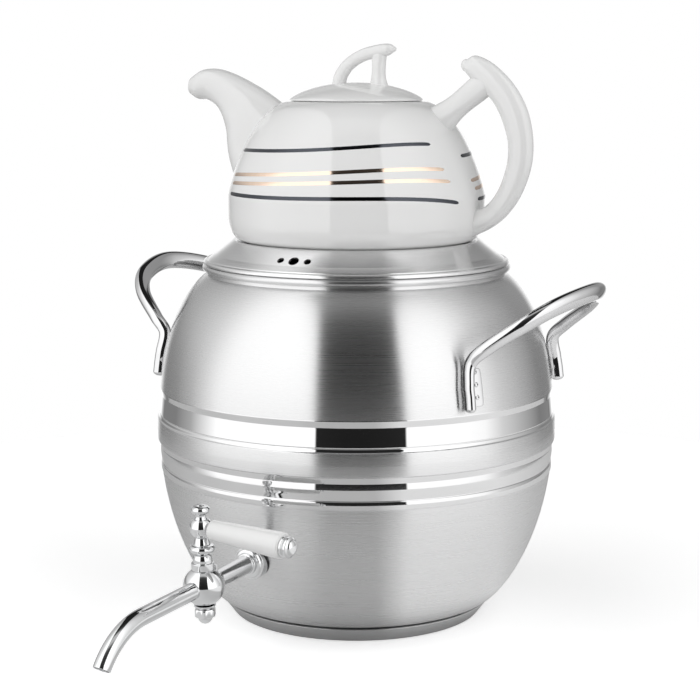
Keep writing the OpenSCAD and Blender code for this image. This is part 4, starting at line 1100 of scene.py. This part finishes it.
def pale_floor():
    """A disc of floor that the camera sees white apart from the object's soft shadow.

    In the metal it shows its own shading and a painted glow, brighter where the panels stand and dim in front
    of the camera, which a painted shadow fades out near the kettle.
    """
    rim = round_z(FLOOR_R, around(128), 0)
    floor = joined("floor", [(rim, [np.arange(len(rim))[None]])])
    material, tree = new_material("floor_pale")
    place = object_place(tree)
    # Painted reflection: an emission seen only in glossy rays, brighter where the panels stand
    glow = all_round(tree, round_from_camera(tree, place), PAINTED_FLOOR_GLOW)
    # Painted contact shadow in the metal: the glow fades out towards the kettle's base
    from_axis = add(tree, "VectorMath", {0: place}, output="Value", operation="LENGTH")
    glow = maths(tree, "MULTIPLY", glow, between(tree, from_axis, PAINTED_SHADOW_FULL_TO, PAINTED_SHADOW_FADES_TO))
    in_metal = add(tree, "LightPath", output="Is Glossy Ray")
    to_camera = add(tree, "LightPath", output="Is Camera Ray")
    tone = mixed(tree, to_camera, (FLOOR_GREY, FLOOR_GREY, FLOOR_GREY, 1), (1, 1, 1, 1))
    matt = add(tree, "BsdfDiffuse", {"Color": tone})
    lift = maths(tree, "MULTIPLY", to_camera, FLOOR_LIFT)
    lit = add(tree, "Emission", {"Strength": maths(tree, "MULTIPLY_ADD", glow, in_metal, lift)})
    both = add(tree, "AddShader", {0: matt, 1: lit})
    add(tree, "OutputMaterial", {"Surface": both})
    floor.data.materials.append(material)


def studio():
    """A plain studio: a tall soft panel left and right of the camera, a dark gap between, greyer at the back.

    The gap narrows with height, and a lighter strip crosses it overhead. The camera itself sees white.
    """
    world = bpy.data.worlds.new("studio")
    bpy.context.scene.world = world
    world.use_nodes = True
    tree = world.node_tree
    tree.nodes.clear()
    direction = add(tree, "TexCoord", output="Generated")
    ahead, across, up = (dot(tree, direction, v) for v in (TO_CAMERA, TO_RIGHT, (0, 0, 1)))
    azimuth = round_from_camera(tree, direction)
    level, raised, top, below = (all_round(tree, azimuth, stops) for stops in (LEVEL, RAISED, TOP, BELOW))
    light = mixed(tree, between(tree, up, *TO_RAISED), level, raised)
    light = mixed(tree, between(tree, up, *TO_TOP), light, top)
    height = maths(tree, "MAXIMUM", up, 0.0)
    middle = maths(tree, "MULTIPLY_ADD", height, GAP_DRIFT, GAP_MIDDLE)
    off_middle = maths(tree, "ABSOLUTE", maths(tree, "SUBTRACT", across, middle))
    narrowing = maths(tree, "MULTIPLY", maths(tree, "MULTIPLY_ADD", height, height, height), GAP_NARROWING)
    beyond = between(tree, maths(tree, "ADD", off_middle, narrowing), GAP_INSIDE, GAP_OUTSIDE)
    open_share = maths(tree, "MAXIMUM", beyond, between(tree, ahead, GAP_ENDS, BACK_STARTS))
    dark = ramp(tree, maths(tree, "MULTIPLY_ADD", ahead, 0.5, 0.5), IN_GAP)
    light = mixed(tree, open_share, dark, light)
    light = mixed(tree, between(tree, up, *TO_BELOW), light, below)
    lamps = add(tree, "Background", {"Color": light, "Strength": PANEL_STRENGTH})
    white = add(tree, "Background", {"Color": (1, 1, 1, 1), "Strength": 1.0})
    seen = add(tree, "LightPath", output="Is Camera Ray")
    both = add(tree, "MixShader", {0: seen, 1: lamps, 2: white})
    add(tree, "OutputWorld", {"Surface": both})


def stand(name, data, place, tilt):
    """A lamp or camera at its place, turned to the kettle's axis and tilted up from straight down."""
    made = bpy.data.objects.new(name, data)
    made.location = place
    made.rotation_euler = (np.radians(tilt), 0.0, HEADING)
    bpy.context.scene.collection.objects.link(made)
    return made


def fill_lamp():
    """A large soft lamp above the camera. It lights the white pieces and does not show in the metal."""
    data = bpy.data.lights.new("fill", "AREA")
    data.shape = "DISK"
    data.size, data.energy = LAMP_SIZE, LAMP_WATTS
    lamp = stand("fill", data, LAMP_PLACE, LAMP_TILT)
    lamp.visible_glossy = lamp.visible_camera = False


def photo_camera():
    """The camera at the photograph's place."""
    data = bpy.data.cameras.new("camera")
    data.lens, data.sensor_width, data.shift_x = CAMERA_LENS, SENSOR_W, CAMERA_SHIFT
    bpy.context.scene.camera = stand("camera", data, CAMERA_PLACE, 90 - CAMERA_PITCH)


pale_floor()
studio()
fill_lamp()
photo_camera()
bpy.context.scene.view_settings.view_transform = "Standard"
